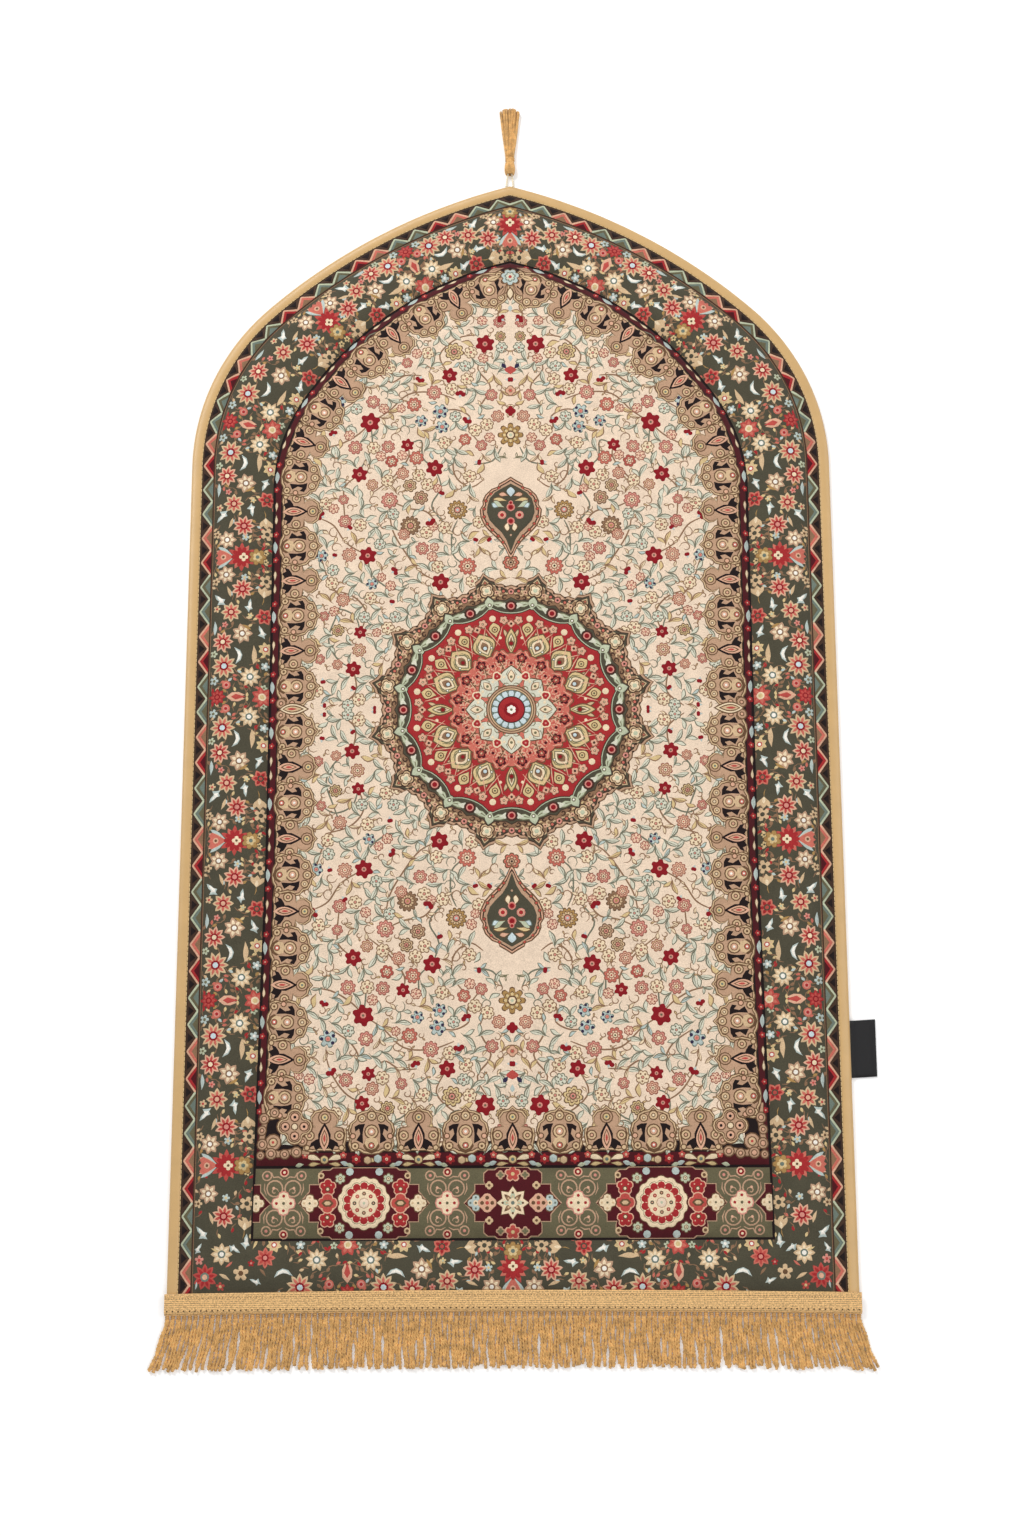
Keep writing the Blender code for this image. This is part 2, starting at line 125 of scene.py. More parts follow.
def arc_points(centre, radius, first, last, spacing):
    steps = max(2, round(abs(radius * (last - first)) / spacing))
    angles = [first + (last - first) * i / steps for i in range(steps + 1)]
    return [(centre[0] + radius * math.cos(a), centre[1] + radius * math.sin(a)) for a in angles]


def mirrored(points):
    """Adds the left half to a right half that ends on the axis."""
    return points + [(-x, y) for x, y in reversed(points[:-1])]


OUTER = Arch(HALF_WIDTH, 0.2645, 0.2522, 47.15, 0.640)
INNER = Arch(0.2582, 0.2355, 0.1905, 31.55, 0.3759)


def flare(y):
    return FLARE * np.clip((FLARE_TOP - y) / (FLARE_TOP - PANEL_BOTTOM), 0.0, 1.0)


def heading_line(x):
    """Upper edge of the heading tape."""
    return HEADING_TOP - FOOT_BOW * (x / HALF_WIDTH) ** 2


# ---- padding ------------------------------------------------------------------
def pocket(x, y):
    """Crown of the sewn pocket at each point and the distance to its nearest seam."""
    side = OUTER.depth(x, y)
    field = INNER.depth(np.abs(x) - flare(y), y)
    foot = y - heading_line(x)
    guard = np.minimum(np.minimum(side - RIM_WIDTH, GUARD_SEAM - side), foot)
    border = np.minimum(np.minimum(side - GUARD_SEAM, np.maximum(-field, PANEL_BOTTOM - y)), foot)
    panel = np.minimum(np.minimum(field, y - PANEL_BOTTOM), FIELD_BOTTOM - y)
    middle = np.minimum(field, y - FIELD_BOTTOM)
    zones = [side < GUARD_SEAM, (field < 0.0) | (y < PANEL_BOTTOM), y < FIELD_BOTTOM]
    crown = np.select(zones, [GUARD_CROWN, BORDER_CROWN, PANEL_CROWN], FIELD_CROWN)
    gap = np.select(zones, [guard, border, panel], middle)
    return crown, np.clip(gap, 0.0, None), side, foot


def ripple(x, y, wavelength, seed):
    """Smooth uneven waves of about the given length, from -1 to 1."""
    draw = random.Random(seed)
    total = np.zeros_like(x)
    for _ in range(5):
        angle = draw.uniform(0.0, math.pi)
        rate = math.tau / (wavelength * draw.uniform(0.8, 1.3))
        total += np.sin(rate * (x * math.cos(angle) + y * math.sin(angle)) + draw.uniform(0, 6.3))
    return total / 3.0


def pad_height(x, y):
    """Height of the rug's upper face, with the pucker of the cloth along its seams."""
    crown, gap, side, foot = pocket(x, y)
    from_side = np.clip((side - RIM_WIDTH) / (GUARD_SEAM - RIM_WIDTH), 0.0, 1.0)
    from_foot = np.clip(foot / FOOT_RISE, 0.0, 1.0)
    base = FOOT_TOP + (TROUGH - FOOT_TOP) * from_foot
    base = RIM_TOP + (base - RIM_TOP) * from_side
    puff = 1.0 - (1.0 - np.clip(gap / SEAM_REACH, 0.0, 1.0)) ** 2.3
    wave = np.sin(31.0 * x + 3.0 * np.sin(9.0 * y)) * np.sin(23.0 * y + 1.0)
    pucker = 0.00035 * ripple(x, y, 0.017, 5) * np.exp(-gap / 0.012) * np.clip(gap / 0.002, 0, 1)
    return base + (crown - base + 0.0005 * wave) * puff + pucker


def pad_normal(x, y):
    """Unit normals of the upper face."""
    step = 0.0004
    slope_x = (pad_height(x + step, y) - pad_height(x - step, y)) / (2.0 * step)
    slope_y = (pad_height(x, y + step) - pad_height(x, y - step)) / (2.0 * step)
    normal = np.stack([-slope_x, -slope_y, np.ones_like(x)], axis=1)
    return normal / np.linalg.norm(normal, axis=1, keepdims=True)


# ---- colours ------------------------------------------------------------------
def linear(red, green, blue):
    """Display colour of 0 to 255 as linear light."""
    return tuple((c / 255.0 / 12.92) if c <= 10 else ((c / 255.0 + 0.055) / 1.055) ** 2.4
                 for c in (red, green, blue))


#    name          red  green blue
DYES = {
    "ivory":      (229, 206, 182),
    "cream":      (230, 208, 174),
    "white":      (238, 232, 220),
    "tan":        (184, 148, 120),
    "taupe":      (136, 104, 78),
    "brown":      (102, 74, 50),
    "earth":      (66, 46, 34),
    # black also serves as painted shade in the narrow bands along the seams
    "black":      (26, 13, 13),
    "olive":      (74, 70, 55),
    "moss":       (98, 92, 68),
    "sage":       (112, 108, 80),
    "celadon":    (184, 190, 162),
    "frost":      (208, 206, 186),
    "mist":       (180, 192, 186),
    "fern":       (112, 112, 94),
    "rosewood":   (146, 88, 72),
    "blush":      (228, 190, 162),
    "sky":        (196, 210, 212),
    "slate":      (106, 118, 108),
    "navy":       (46, 40, 66),
    "ochre":      (166, 130, 78),
    "straw":      (210, 184, 134),
    "sand":       (206, 176, 138),
    "peach":      (214, 166, 138),
    "pink":       (206, 136, 122),
    "salmon":     (196, 106, 90),
    "coral":      (180, 74, 66),
    "red":        (160, 40, 42),
    "ruby":       (134, 16, 26),
    "wine":       (76, 14, 22),
}
COLOUR = {name: linear(*value) for name, value in DYES.items()}


# ---- canvas: flat shapes laid one over another, made into one mesh -------------
BOTH_SIDES = ((1, 1), (-1, 1))
FOUR_QUARTERS = ((1, 1), (-1, 1), (1, -1), (-1, -1))


class Canvas:
    """Collects shapes painted over a right-hand ground and turns them into padded faces.

    copies tells how the ground is repeated: its side (1 right, -1 left) and its end.
    """

    def __init__(self, name, ground_outline, ground, copies=BOTH_SIDES, hole=None):
        self.name = name
        self.copies = copies
        self.points = []
        self.tilts = []
        self.faces = []
        self.shape_of_face = []
        self.shape_first = []
        self.shape_colour = []
        xs = [p[0] for p in ground_outline]
        ys = [p[1] for p in ground_outline]
        self.box = (min(xs), min(ys), max(xs), max(ys))
        self.add_shape(ground_outline, ground, 0.0)
        self.hole_face = None
        if hole is not None:
            self.hole_face = len(self.faces)
            self.add_shape(hole, ground, 0.0)

    def outside(self, points):
        """True for a shape that lies wholly off the ground."""
        low_x, low_y, high_x, high_y = self.box
        return (all(p[0] < low_x for p in points) or all(p[0] > high_x for p in points)
                or all(p[1] < low_y for p in points) or all(p[1] > high_y for p in points))

    def start_shape(self, colour):
        self.shape_first.append(len(self.points))
        self.shape_colour.append(COLOUR[colour])
        return len(self.shape_first) - 1

    def add_shape(self, loop, colour, relief):
        """Adds one closed loop, listed anticlockwise."""
        shape = self.start_shape(colour)
        first = len(self.points)
        count = len(loop)
        self.points += loop
        self.faces.append(list(range(first, first + count)))
        self.shape_of_face.append(shape)
        for i in range(count):
            ahead = loop[(i + 1) % count]
            behind = loop[i - 1]
            along = (ahead[0] - behind[0], ahead[1] - behind[1])
            size = math.hypot(*along) or 1.0
            self.tilts.append((relief * along[1] / size, -relief * along[0] / size))

    def paint(self, loop, colour, relief=0.45):
        """Paints a closed loop."""
        if self.outside(loop):
            return
        if loop_area(loop) < 0.0:
            loop = loop[::-1]
        self.add_shape(loop, colour, relief)

    def paint_band(self, left, right, colour, relief):
        """Paints a band between two lines of points as a row of quads."""
        if self.outside(left):
            return
        shape = self.start_shape(colour)
        first = len(self.points)
        count = len(left)
        self.points += left + right
        for i in range(count):
            across = (left[i][0] - right[i][0], left[i][1] - right[i][1])
            size = math.hypot(*across) or 1.0
            self.tilts.append((relief * across[0] / size, relief * across[1] / size))
        for i in range(count):
            tilt = self.tilts[first + i]
            self.tilts.append((-tilt[0], -tilt[1]))
        for i in range(count - 1):
            quad = [first + i, first + count + i, first + count + i + 1, first + i + 1]
            turns = quad_turns([self.points[k] for k in quad])
            if all(turn > 0.0 for turn in turns) or all(turn < 0.0 for turn in turns):
                self.faces.append(quad if turns[0] > 0.0 else quad[::-1])
                self.shape_of_face.append(shape)

    def build(self, dye_material):
        """Triangulates everything, lifts it onto the padded surface and repeats it."""
        points = self.points + support_points(self.points[:len(self.faces[0])])
        verts, _, tris, sources, _, owners = delaunay_2d_cdt(points, [], self.faces, 0, 1e-7)
        keep = []
        top_shape = []
        for tri, owner in zip(tris, owners):
            if 0 not in owner or (self.hole_face is not None and self.hole_face in owner):
                continue
            keep.append(tri)
            top_shape.append(self.shape_of_face[max(owner)])
        tilts = self.corner_tilts(keep, top_shape, sources)
        flat = np.array([(v[0], v[1]) for v in verts])
        colours = np.array([self.shape_colour[s] + (1.0,) for s in top_shape])
        return [self.make_mesh(f"{self.name}_{k + 1}", flat, keep, colours, tilts, side, end,
                               dye_material) for k, (side, end) in enumerate(self.copies)]

    def corner_tilts(self, tris, top_shape, sources):
        """Outward lean of each corner that lies on the rim of its own shape."""
        last = self.shape_first[1:] + [len(self.points)]
        tilts = np.zeros((len(tris) * 3, 2))
        row = 0
        for tri, shape in zip(tris, top_shape):
            if shape:
                low, high = self.shape_first[shape], last[shape]
                for vertex in tri:
                    for source in sources[vertex]:
                        if low <= source < high:
                            tilts[row] = self.tilts[source]
                            break
                    row += 1
            else:
                row += 3
        return tilts

    def make_mesh(self, name, flat, tris, colours, tilts, side, end, dye_material):
        used, corners = np.unique(np.array(tris, dtype=np.int64), return_inverse=True)
        corners = corners.reshape(-1, 3)
        place = flat[used].copy()
        place[:, 0] *= side
        place[:, 1] = MEDALLION_Y + end * (place[:, 1] - MEDALLION_Y)
        tilts = tilts.reshape(-1, 3, 2) * (side, end)
        if side * end < 0:
            corners = corners[:, ::-1]
            tilts = tilts[:, ::-1]
        height = pad_height(place[:, 0], place[:, 1]) + FACE_LIFT
        mesh = bpy.data.meshes.new(name)
        mesh.from_pydata(np.column_stack([place, height]).tolist(), [], corners.tolist())
        dye = mesh.color_attributes.new("dye", "FLOAT_COLOR", "CORNER")
        dye.data.foreach_set("color", np.repeat(colours, 3, axis=0).ravel())
        add_plan_uv(mesh)
        normals = pad_normal(place[:, 0], place[:, 1])[corners.ravel()]
        normals[:, :2] += tilts.reshape(-1, 2)
        normals /= np.linalg.norm(normals, axis=1, keepdims=True)
        mesh.normals_split_custom_set(normals.tolist())
        mesh.materials.append(dye_material)
        made = bpy.data.objects.new(name, mesh)
        bpy.context.scene.collection.objects.link(made)
        print(name, len(tris), "triangles")
        return made


def axis_closed(right):
    """Closes a line from foot to point along the rug's axis."""
    foot = (0.0, right[0][1])
    return right + line_points(right[-1], foot, OUTLINE_STEP)[1:]


def quad_turns(quad):
    """Which way each corner of a quad turns; all alike where it is convex."""
    turns = []
    for i in range(4):
        a, b, c = quad[i - 1], quad[i], quad[(i + 1) % 4]
        turns.append((b[0] - a[0]) * (c[1] - b[1]) - (b[1] - a[1]) * (c[0] - b[0]))
    return turns


def loop_area(loop):
    return 0.5 * sum(a[0] * b[1] - b[0] * a[1] for a, b in zip(loop, loop[1:] + loop[:1]))


def lattice(outline, spacing):
    """An even lattice of points over the outline's box."""
    xs = [p[0] for p in outline]
    ys = [p[1] for p in outline]
    points = []
    row = 0
    y = min(ys) + 0.5 * spacing
    while y < max(ys):
        x = min(xs) + (0.25 + 0.5 * (row % 2)) * spacing
        while x < max(xs):
            points.append((x, y))
            x += spacing
        y += 0.87 * spacing
        row += 1
    return np.array(points)


def support_points(outline, spread=1.0):
    """Points that carry the padded shape: few on the crowns, many beside the seams."""
    coarse = lattice(outline, 0.0070 * spread)
    fine = lattice(outline, 0.0033 * spread)
    near_seam = pocket(fine[:, 0], fine[:, 1])[1] < 0.0085
    far = pocket(coarse[:, 0], coarse[:, 1])[1] >= 0.0075
    both = np.concatenate([coarse[far], fine[near_seam]])
    inside = OUTER.depth(both[:, 0], both[:, 1]) > BINDING_WIDTH
    return [tuple(p) for p in both[inside].tolist()]


def add_plan_uv(mesh):
    """A plan view of the piece as its texture layout."""
    layer = mesh.uv_layers.new(name="OFBake")
    count = len(mesh.vertices)
    place = np.empty(count * 3)
    mesh.vertices.foreach_get("co", place)
    place = place.reshape(-1, 3)[:, :2]
    low = place.min(axis=0)
    size = (place.max(axis=0) - low).max()
    corner = np.empty(len(mesh.loops), dtype=np.int64)
    mesh.loops.foreach_get("vertex_index", corner)
    layer.data.foreach_set("uv", (0.01 + 0.98 * (place - low) / size)[corner].ravel())


# ---- motifs, in millimetres ---------------------------------------------------
LINE_RELIEF = 0.55           # lean of the pile at a line's rims


class Brush:
    """A place on a canvas with its own axes: x across, y forward, in millimetres."""

    def __init__(self, canvas, x, y, turn=0.0, scale=1.0, mirror=False):
        self.canvas = canvas
        self.x = x
        self.y = y
        self.turn = turn
        self.scale = scale
        self.mirror = mirror
        self.cos = math.cos(math.radians(turn))
        self.sin = math.sin(math.radians(turn))

    def place(self, x, y):
        """A local point in metres on the rug."""
        x = -x * self.scale if self.mirror else x * self.scale
        y = y * self.scale
        return (self.x + 0.001 * (x * self.cos - y * self.sin),
                self.y + 0.001 * (x * self.sin + y * self.cos))

    def at(self, x, y, turn=0.0, scale=1.0, mirror=False):
        """A brush further along, in this brush's own axes."""
        spot = self.place(x, y)
        if self.mirror:
            turn = -turn
        return Brush(self.canvas, *spot, self.turn + turn, self.scale * scale,
                     self.mirror != mirror)

    def fill(self, loop, colour, relief=0.45):
        self.canvas.paint([self.place(x, y) for x, y in loop], colour, relief)

    def line(self, points, width, colour, ends=0.35):
        """A line with tapered ends."""
        left, right = band_sides(points, width, ends)
        self.canvas.paint_band([self.place(*p) for p in left], [self.place(*p) for p in right],
                               colour, LINE_RELIEF)


def band_sides(points, width, ends):
    left = []
    right = []
    count = len(points)
    for i, (x, y) in enumerate(points):
        ahead = points[min(i + 1, count - 1)]
        behind = points[max(i - 1, 0)]
        along = (ahead[0] - behind[0], ahead[1] - behind[1])
        size = math.hypot(*along) or 1.0
        share = i / (count - 1)
        half = 0.5 * width * (ends + (1.0 - ends) * math.sin(math.pi * share) ** 0.5)
        normal = (-along[1] / size * half, along[0] / size * half)
        left.append((x + normal[0], y + normal[1]))
        right.append((x - normal[0], y - normal[1]))
    return left, right


def disc(radius, count=10, x=0.0, y=0.0):
    return [(x + radius * math.cos(math.tau * i / count),
             y + radius * math.sin(math.tau * i / count)) for i in range(count)]


def lobed(radius, inner, lobes, per_lobe=4):
    """A round outline with rounded lobes."""
    loop = []
    for i in range(lobes * per_lobe):
        share = i / per_lobe
        reach = inner + (radius - inner) * abs(math.cos(math.pi * share)) ** 0.55
        angle = math.tau * share / lobes + 0.5 * math.pi
        loop.append((reach * math.cos(angle), reach * math.sin(angle)))
    return loop


def star(radius, inner, points):
    loop = []
    for i in range(2 * points):
        reach = inner if i % 2 else radius
        angle = math.pi * i / points + 0.5 * math.pi
        loop.append((reach * math.cos(angle), reach * math.sin(angle)))
    return loop


def leaf(length, width, bend=0.0, count=5, blunt=0.5):
    """A leaf from the origin along y, bent sideways; blunt moves its widest place."""
    left = []
    right = []
    for i in range(1, count):
        share = i / count
        half = 0.5 * width * math.sin(math.pi * share ** (1.0 + blunt))
        middle = bend * share * share
        left.append((middle - half, length * share))
        right.append((middle + half, length * share))
    return [(0.0, 0.0)] + right + [(bend, length)] + left[::-1]


def smooth(points, steps=4):
    """A Catmull-Rom curve through the points."""
    ends = [points[0]] + list(points) + [points[-1]]
    curve = []
    for a, b, c, d in zip(ends, ends[1:], ends[2:], ends[3:]):
        for i in range(steps):
            t = i / steps
            curve.append(tuple(
                0.5 * (2 * q + (r - p) * t + (2 * p - 5 * q + 4 * r - s) * t * t
                       + (3 * q - p - 3 * r + s) * t ** 3)
                for p, q, r, s in zip(a, b, c, d)))
    curve.append(tuple(points[-1]))
    return curve


def spiral(radius, turns, shrink=0.25, steps=10):
    """A curl that starts at the origin, heading along y, and winds in to the right."""
    points = []
    count = max(6, round(steps * turns))
    for i in range(count + 1):
        share = i / count
        reach = radius * (1.0 - (1.0 - shrink) * share)
        angle = math.pi - math.tau * turns * share
        points.append((radius + reach * math.cos(angle), reach * math.sin(angle)))
    return points


def bloom(brush, radius, petals, rim, fill, eye, heart, inner=0.72, core=None):
    """A round flower with a dark rim, lobed petals and a ringed eye; core adds an inner ring."""
    line = min(1.3, 0.18 * radius)
    rings = [(radius, rim), (radius - line, fill)]
    if core:
        rings += [(0.68 * radius, rim), (0.68 * radius - 1.1, core)]
    for reach, colour in rings:
        brush.fill(lobed(reach, inner * radius - radius + reach, petals), colour)
    brush.fill(lobed(0.38 * radius, 0.32 * radius, 5, 3), rim)
    brush.fill(disc(0.27 * radius, 7), eye)
    brush.fill(disc(0.14 * radius, 5), heart)


def petal_flower(brush, radius, petals, fill, eye, heart, rim=None):
    """A flower with parted round petals, such as the red ones in the field."""
    if rim:
        brush.fill(lobed(radius, 0.50 * radius, petals, 5), rim)
        brush.fill(lobed(radius - 0.7, 0.50 * radius - 0.5, petals, 5), fill)
    else:
        brush.fill(lobed(radius, 0.44 * radius, petals, 5), fill)
    brush.fill(disc(0.27 * radius, 7), eye)
    brush.fill(disc(0.13 * radius, 5), heart)


def bud(brush, size, fill, calyx, petals=3):
    """Two or three petals over a small calyx."""
    brush.fill(leaf(0.9 * size, 0.55 * size, 0.0, 4), calyx)
    spread = 52.0 if petals == 3 else 34.0
    for i in range(petals):
        turn = spread * (i - 0.5 * (petals - 1))
        place = brush.at(0, 0.35 * size, turn)
        place.fill(disc(0.34 * size, 8, 0.0, 0.48 * size), fill)


def halves(brush):
    """The brush and its mirror image."""
    return [brush.at(0, 0, 0, 1.0, side) for side in (False, True)]


def discs(brush, rows, count, x=0.0, y=0.0):
    """Discs laid one on another, from (radius, colour) rows."""
    for radius, colour in rows:
        brush.fill(disc(radius, count, x, y), colour)


def scroll_leaf(brush, length, width, bend, rim, fill, vein=None):
    """An outlined leaf with a bent tip."""
    brush.fill(leaf(length, width, bend), rim, 0.5)
    shrink = 1.0 - 2.6 / length
    inset = brush.at(0.12 * bend, 0.5 * (1.0 - shrink) * length, 0.0, shrink)
    inset.fill(leaf(length, max(0.6, width - 2.0) / shrink, bend), fill, 0.2)
    if vein:
        brush.line([(0.02 * bend, 0.15 * length), (0.25 * bend, 0.5 * length),
                    (0.64 * bend, 0.8 * length)], 0.9, vein)


def split_leaf(brush, size, rim, fill):
    """Two slender leaves that part from one stem, and the stem's curl."""
    scroll_leaf(brush.at(0, 0, 18), 0.78 * size, 0.34 * size, -0.26 * size, rim, fill)
    scroll_leaf(brush.at(0, 0, -14), size, 0.38 * size, 0.34 * size, rim, fill, rim)
    brush.line([(0.0, 0.5 * size), (0.02 * size, 0.1 * size), (-0.14 * size, -0.16 * size)],
               1.1, rim)


def curl(brush, size, colour, leaf_colour):
    """A thin stem that winds into a curl and carries one leaf."""
    path = [(size * x, size * y) for x, y in spiral(0.42, 0.85, 0.35, 9)]
    brush.line(path, 1.2, colour)
    scroll_leaf(brush.at(*path[3], 35.0), 0.6 * size, 0.30 * size, 0.1 * size, colour, leaf_colour)


def rosette(brush, radius, rim, fill, middle):
    """A pale round flower drawn in outline, with a ring of marks inside."""
    brush.fill(lobed(radius, 0.80 * radius, 7), rim)
    brush.fill(lobed(radius - 1.2, 0.80 * radius - 1.2, 7), fill)
    for k in range(5):
        brush.at(0, 0, 72.0 * k).fill(disc(0.16 * radius, 5, 0, 0.52 * radius), rim)
    brush.fill(disc(0.26 * radius, 7), rim)
    brush.fill(disc(0.16 * radius, 6), middle)


# ---- medallion ----------------------------------------------------------------
SECTORS = 16


def ring_loop(profile):
    """Closed outline from (degrees from a sector's middle, radius) rows, mirrored in it."""
    loop = []
    for k in range(SECTORS):
        middle = 360.0 * k / SECTORS
        rows = [(-angle, reach) for angle, reach in profile[::-1] if angle > 0.0] + list(profile)
        for angle, reach in rows:
            if abs(abs(angle) - 180.0 / SECTORS) < 0.01 and angle < 0.0:
                continue
            theta = math.radians(90.0 + middle + angle)
            loop.append((reach * math.cos(theta), reach * math.sin(theta)))
    return loop


def lowered(profile, drop):
    return [(angle, reach - drop) for angle, reach in profile]


def sector_brushes(brush, half=False, sectors=SECTORS):
    """A brush turned to each sector's middle, or to each border between sectors."""
    step = 360.0 / sectors
    return [brush.at(0, 0, step * (k + (0.5 if half else 0.0))) for k in range(sectors)]


#            degrees from a valley's middle, radius
MEDALLION_EDGE = [
    (0.0, 139.0), (2.2, 137.5), (4.0, 140.5), (6.6, 141.0), (7.2, 147.0), (9.2, 149.5),
    (11.25, 155.5),
]
OLIVE_EDGE = [
    (0.0, 124.0), (3.0, 121.0), (6.0, 121.5), (8.6, 122.5), (10.2, 126.0), (11.25, 128.5),
]
RED_EDGE = [
    (0.0, 105.5), (3.0, 106.0), (6.0, 107.5), (8.8, 110.5), (10.2, 112.5), (11.25, 112.0),
]


def paint_outer_band(brush):
    """Brown scrolls with a pale four-lobed flower under each point."""
    for drop, colour in ((0.0, "brown"), (1.3, "tan"), (3.6, "earth"), (5.0, "olive"),
                         (7.8, "sand"), (9.2, "taupe")):
        brush.fill(ring_loop(lowered(MEDALLION_EDGE, drop)), colour)
    for place in sector_brushes(brush):
        for half in halves(place):
            half.at(4.0, 125.5, -20).line(spiral_path(6.4, 0.95), 1.7, "earth")
            half.at(12.0, 124.5, -30).line(spiral_path(5.2, 0.9), 1.7, "earth")
            half.line([(17.0, 127.0), (20.0, 131.0), (20.5, 137.5), (25.0, 143.0)], 2.0, "earth")
            for x, y in ((6.4, 137.0), (15.4, 136.6), (19.6, 127.4), (1.8, 129.6)):
                half.fill(disc(1.5, 6, x, y), "earth")
            half.at(7.0, 128.5, -10).line(spiral_path(7.6, 0.9), 1.5, "sand")
            half.at(15.6, 127.0, -30).line(spiral_path(6.0, 0.9), 1.4, "straw")
            half.fill(disc(2.6, 7, 8.2, 131.6), "earth")
            half.fill(disc(1.6, 6, 8.2, 131.6), "salmon")
            half.fill(disc(2.3, 7, 15.6, 130.0), "peach")
            half.fill(disc(1.1, 5, 15.6, 130.0), "brown")
            half.fill(disc(1.5, 6, 12.4, 134.4), "peach")
            half.fill(disc(1.3, 6, 3.6, 134.6), "peach")
        place.fill(lobed(3.4, 2.5, 4, 3), "earth")
        place.at(0, 131).fill(lobed(4.2, 3.0, 5, 3), "brown")
        place.at(0, 131).fill(lobed(3.2, 2.2, 5, 3), "pink")
        place.at(0, 131).fill(disc(1.4, 6), "earth")
    for place in sector_brushes(brush, True):
        knot = place.at(0, 134.5, 45)
        for radius, colour in ((9.6, "earth"), (8.0, "sand"), (6.6, "brown"), (5.4, "cream")):
            knot.fill(lobed(radius, 0.66 * radius, 4, 4), colour)
        knot.fill(lobed(2.6, 1.8, 4, 3), "celadon")
        place.at(0, 143.5).fill(disc(1.9, 7), "brown")
        place.at(0, 143.5).fill(disc(1.0, 5), "salmon")


def spiral_path(size, turns):
    return spiral(0.5 * size, turns, 0.25, 9)


def paint_olive_band(brush):
    """Dark green ring with a pale leaf garland and sixteen roses."""
    brush.fill(ring_loop(lowered(OLIVE_EDGE, -1.0)), "earth")
    brush.fill(ring_loop(OLIVE_EDGE), "olive")
    for place in sector_brushes(brush, True):
        for half in halves(place):
            half.at(0.8, 121.5, -122).fill(leaf(17.0, 8.0, -3.5), "sage")
            half.at(1.4, 120.9, -122).fill(leaf(15.6, 6.0, -3.2), "celadon")
            half.at(2.6, 120.0, -122).line([(0, 2), (-0.6, 7), (-2.0, 12)], 1.2, "sage")
            half.at(9.5, 116.5, -100).fill(leaf(11.0, 6.6, 2.6), "frost")
        place.at(0, 113.0).fill(leaf(14, 9.5, 0, 6, 0.1), "celadon")
        place.at(0, 118.0).fill(disc(2.4, 7), "sage")
        place.at(0, 118.0).fill(disc(1.2, 6), "white")
    for place in sector_brushes(brush):
        rose = place.at(0, 115.0)
        discs(rose, ((6.6, "earth"), (4.9, "wine"), (4.1, "pink"), (2.7, "ruby")), 10)


def paint_red_ring(brush):
    """Red ground with cream buds, dots and sprigs."""
    for drop, colour in ((-2.0, "celadon"), (-1.1, "earth"), (0.0, "red")):
        brush.fill(ring_loop(lowered(RED_EDGE, drop)), colour)
    for place in sector_brushes(brush):
        for half in halves(place):
            petal_flower(half.at(8.0, 99.0, 30), 5.4, 5, "peach", "brown", "cream", "earth")
            half.line([(16.0, 70.0), (11.5, 84.0), (9.5, 92.0)], 1.2, "peach")
            half.line([(9.5, 92.0), (4.0, 96.0), (0.5, 101.0)], 1.1, "taupe")
        scroll_leaf(place.at(4.0, 76.0, -8), 14.0, 5.0, 2.0, "brown", "sand")
        scroll_leaf(place.at(-4.0, 76.0, 8), 14.0, 5.0, -2.0, "brown", "sand")
        place.at(0, 95).fill(lobed(3.8, 2.6, 4), "peach")
        place.at(0, 95).fill(disc(1.6, 5), "earth")
    for place in sector_brushes(brush, True):
        place.fill(disc(3.6, 9, 0, 102.5), "cream")
        drop = place.at(0, 80.5)
        drop.fill(leaf(18, 13.5, 0, 8, 0.35), "earth")
        drop.at(0, 1.0).fill(leaf(16.4, 11.8, 0, 8, 0.35), "straw")
        drop.fill(disc(3.6, 9, 0, 9.6), "brown")
        drop.fill(disc(2.5, 8, 0, 9.6), "straw")
        drop.fill(disc(1.3, 6, 0, 9.6), "moss")
        for x in (-4.0, 4.0):
            place.fill(disc(1.8, 6, x, 80.0), "cream")
        place.fill(leaf(9, 3.4, 0, 4), "cream")


def paint_flames(brush):
    """Sixteen cream palmettes round the pink heart, narrow on the four axes."""
    for k, place in enumerate(sector_brushes(brush)):
        wide = 10.5 if k % 4 == 0 else 24.0
        flame = place.at(0, 60.0)
        flame.fill(leaf(31, wide + 3.0, 0, 8, 0.1), "brown")
        flame.at(0, 1.6).fill(leaf(27.6, wide, 0, 8, 0.1), "straw")
        flame.at(0, 4.0).fill(leaf(21, 0.62 * wide + 1.6, 0, 6, 0.1), "sage")
        flame.at(0, 5.6).fill(leaf(17.5, 0.62 * wide - 1.2, 0, 6, 0.1), "cream")
        flame.at(0, 8.0).fill(leaf(12.5, 0.40 * wide - 1.0, 0, 6, 0.1), "taupe")
        if k % 4:
            for half in halves(flame):
                half.line([(2.0, 4.0), (7.6, 9.0), (9.4, 15.0), (6.0, 22.0)], 1.2, "sage")
                half.fill(disc(1.9, 6, 6.6, 11.0), "sage")
                half.fill(disc(1.0, 5, 6.6, 11.0), "white")
                half.line([(3.4, 17.0), (2.0, 23.0), (6.0, 29.0), (9.6, 35.0)], 1.0, "peach")
        flame.fill(disc(3.2, 8, 0, 13.0), "brown")
        flame.fill(disc(2.1, 7, 0, 13.0), "sky" if k % 2 else "ruby")


#            degrees from a flame's middle, radius
HEART_EDGE = [(0.0, 62.0), (4.0, 61.5), (7.0, 66.0), (9.2, 66.5), (11.25, 64.0)]


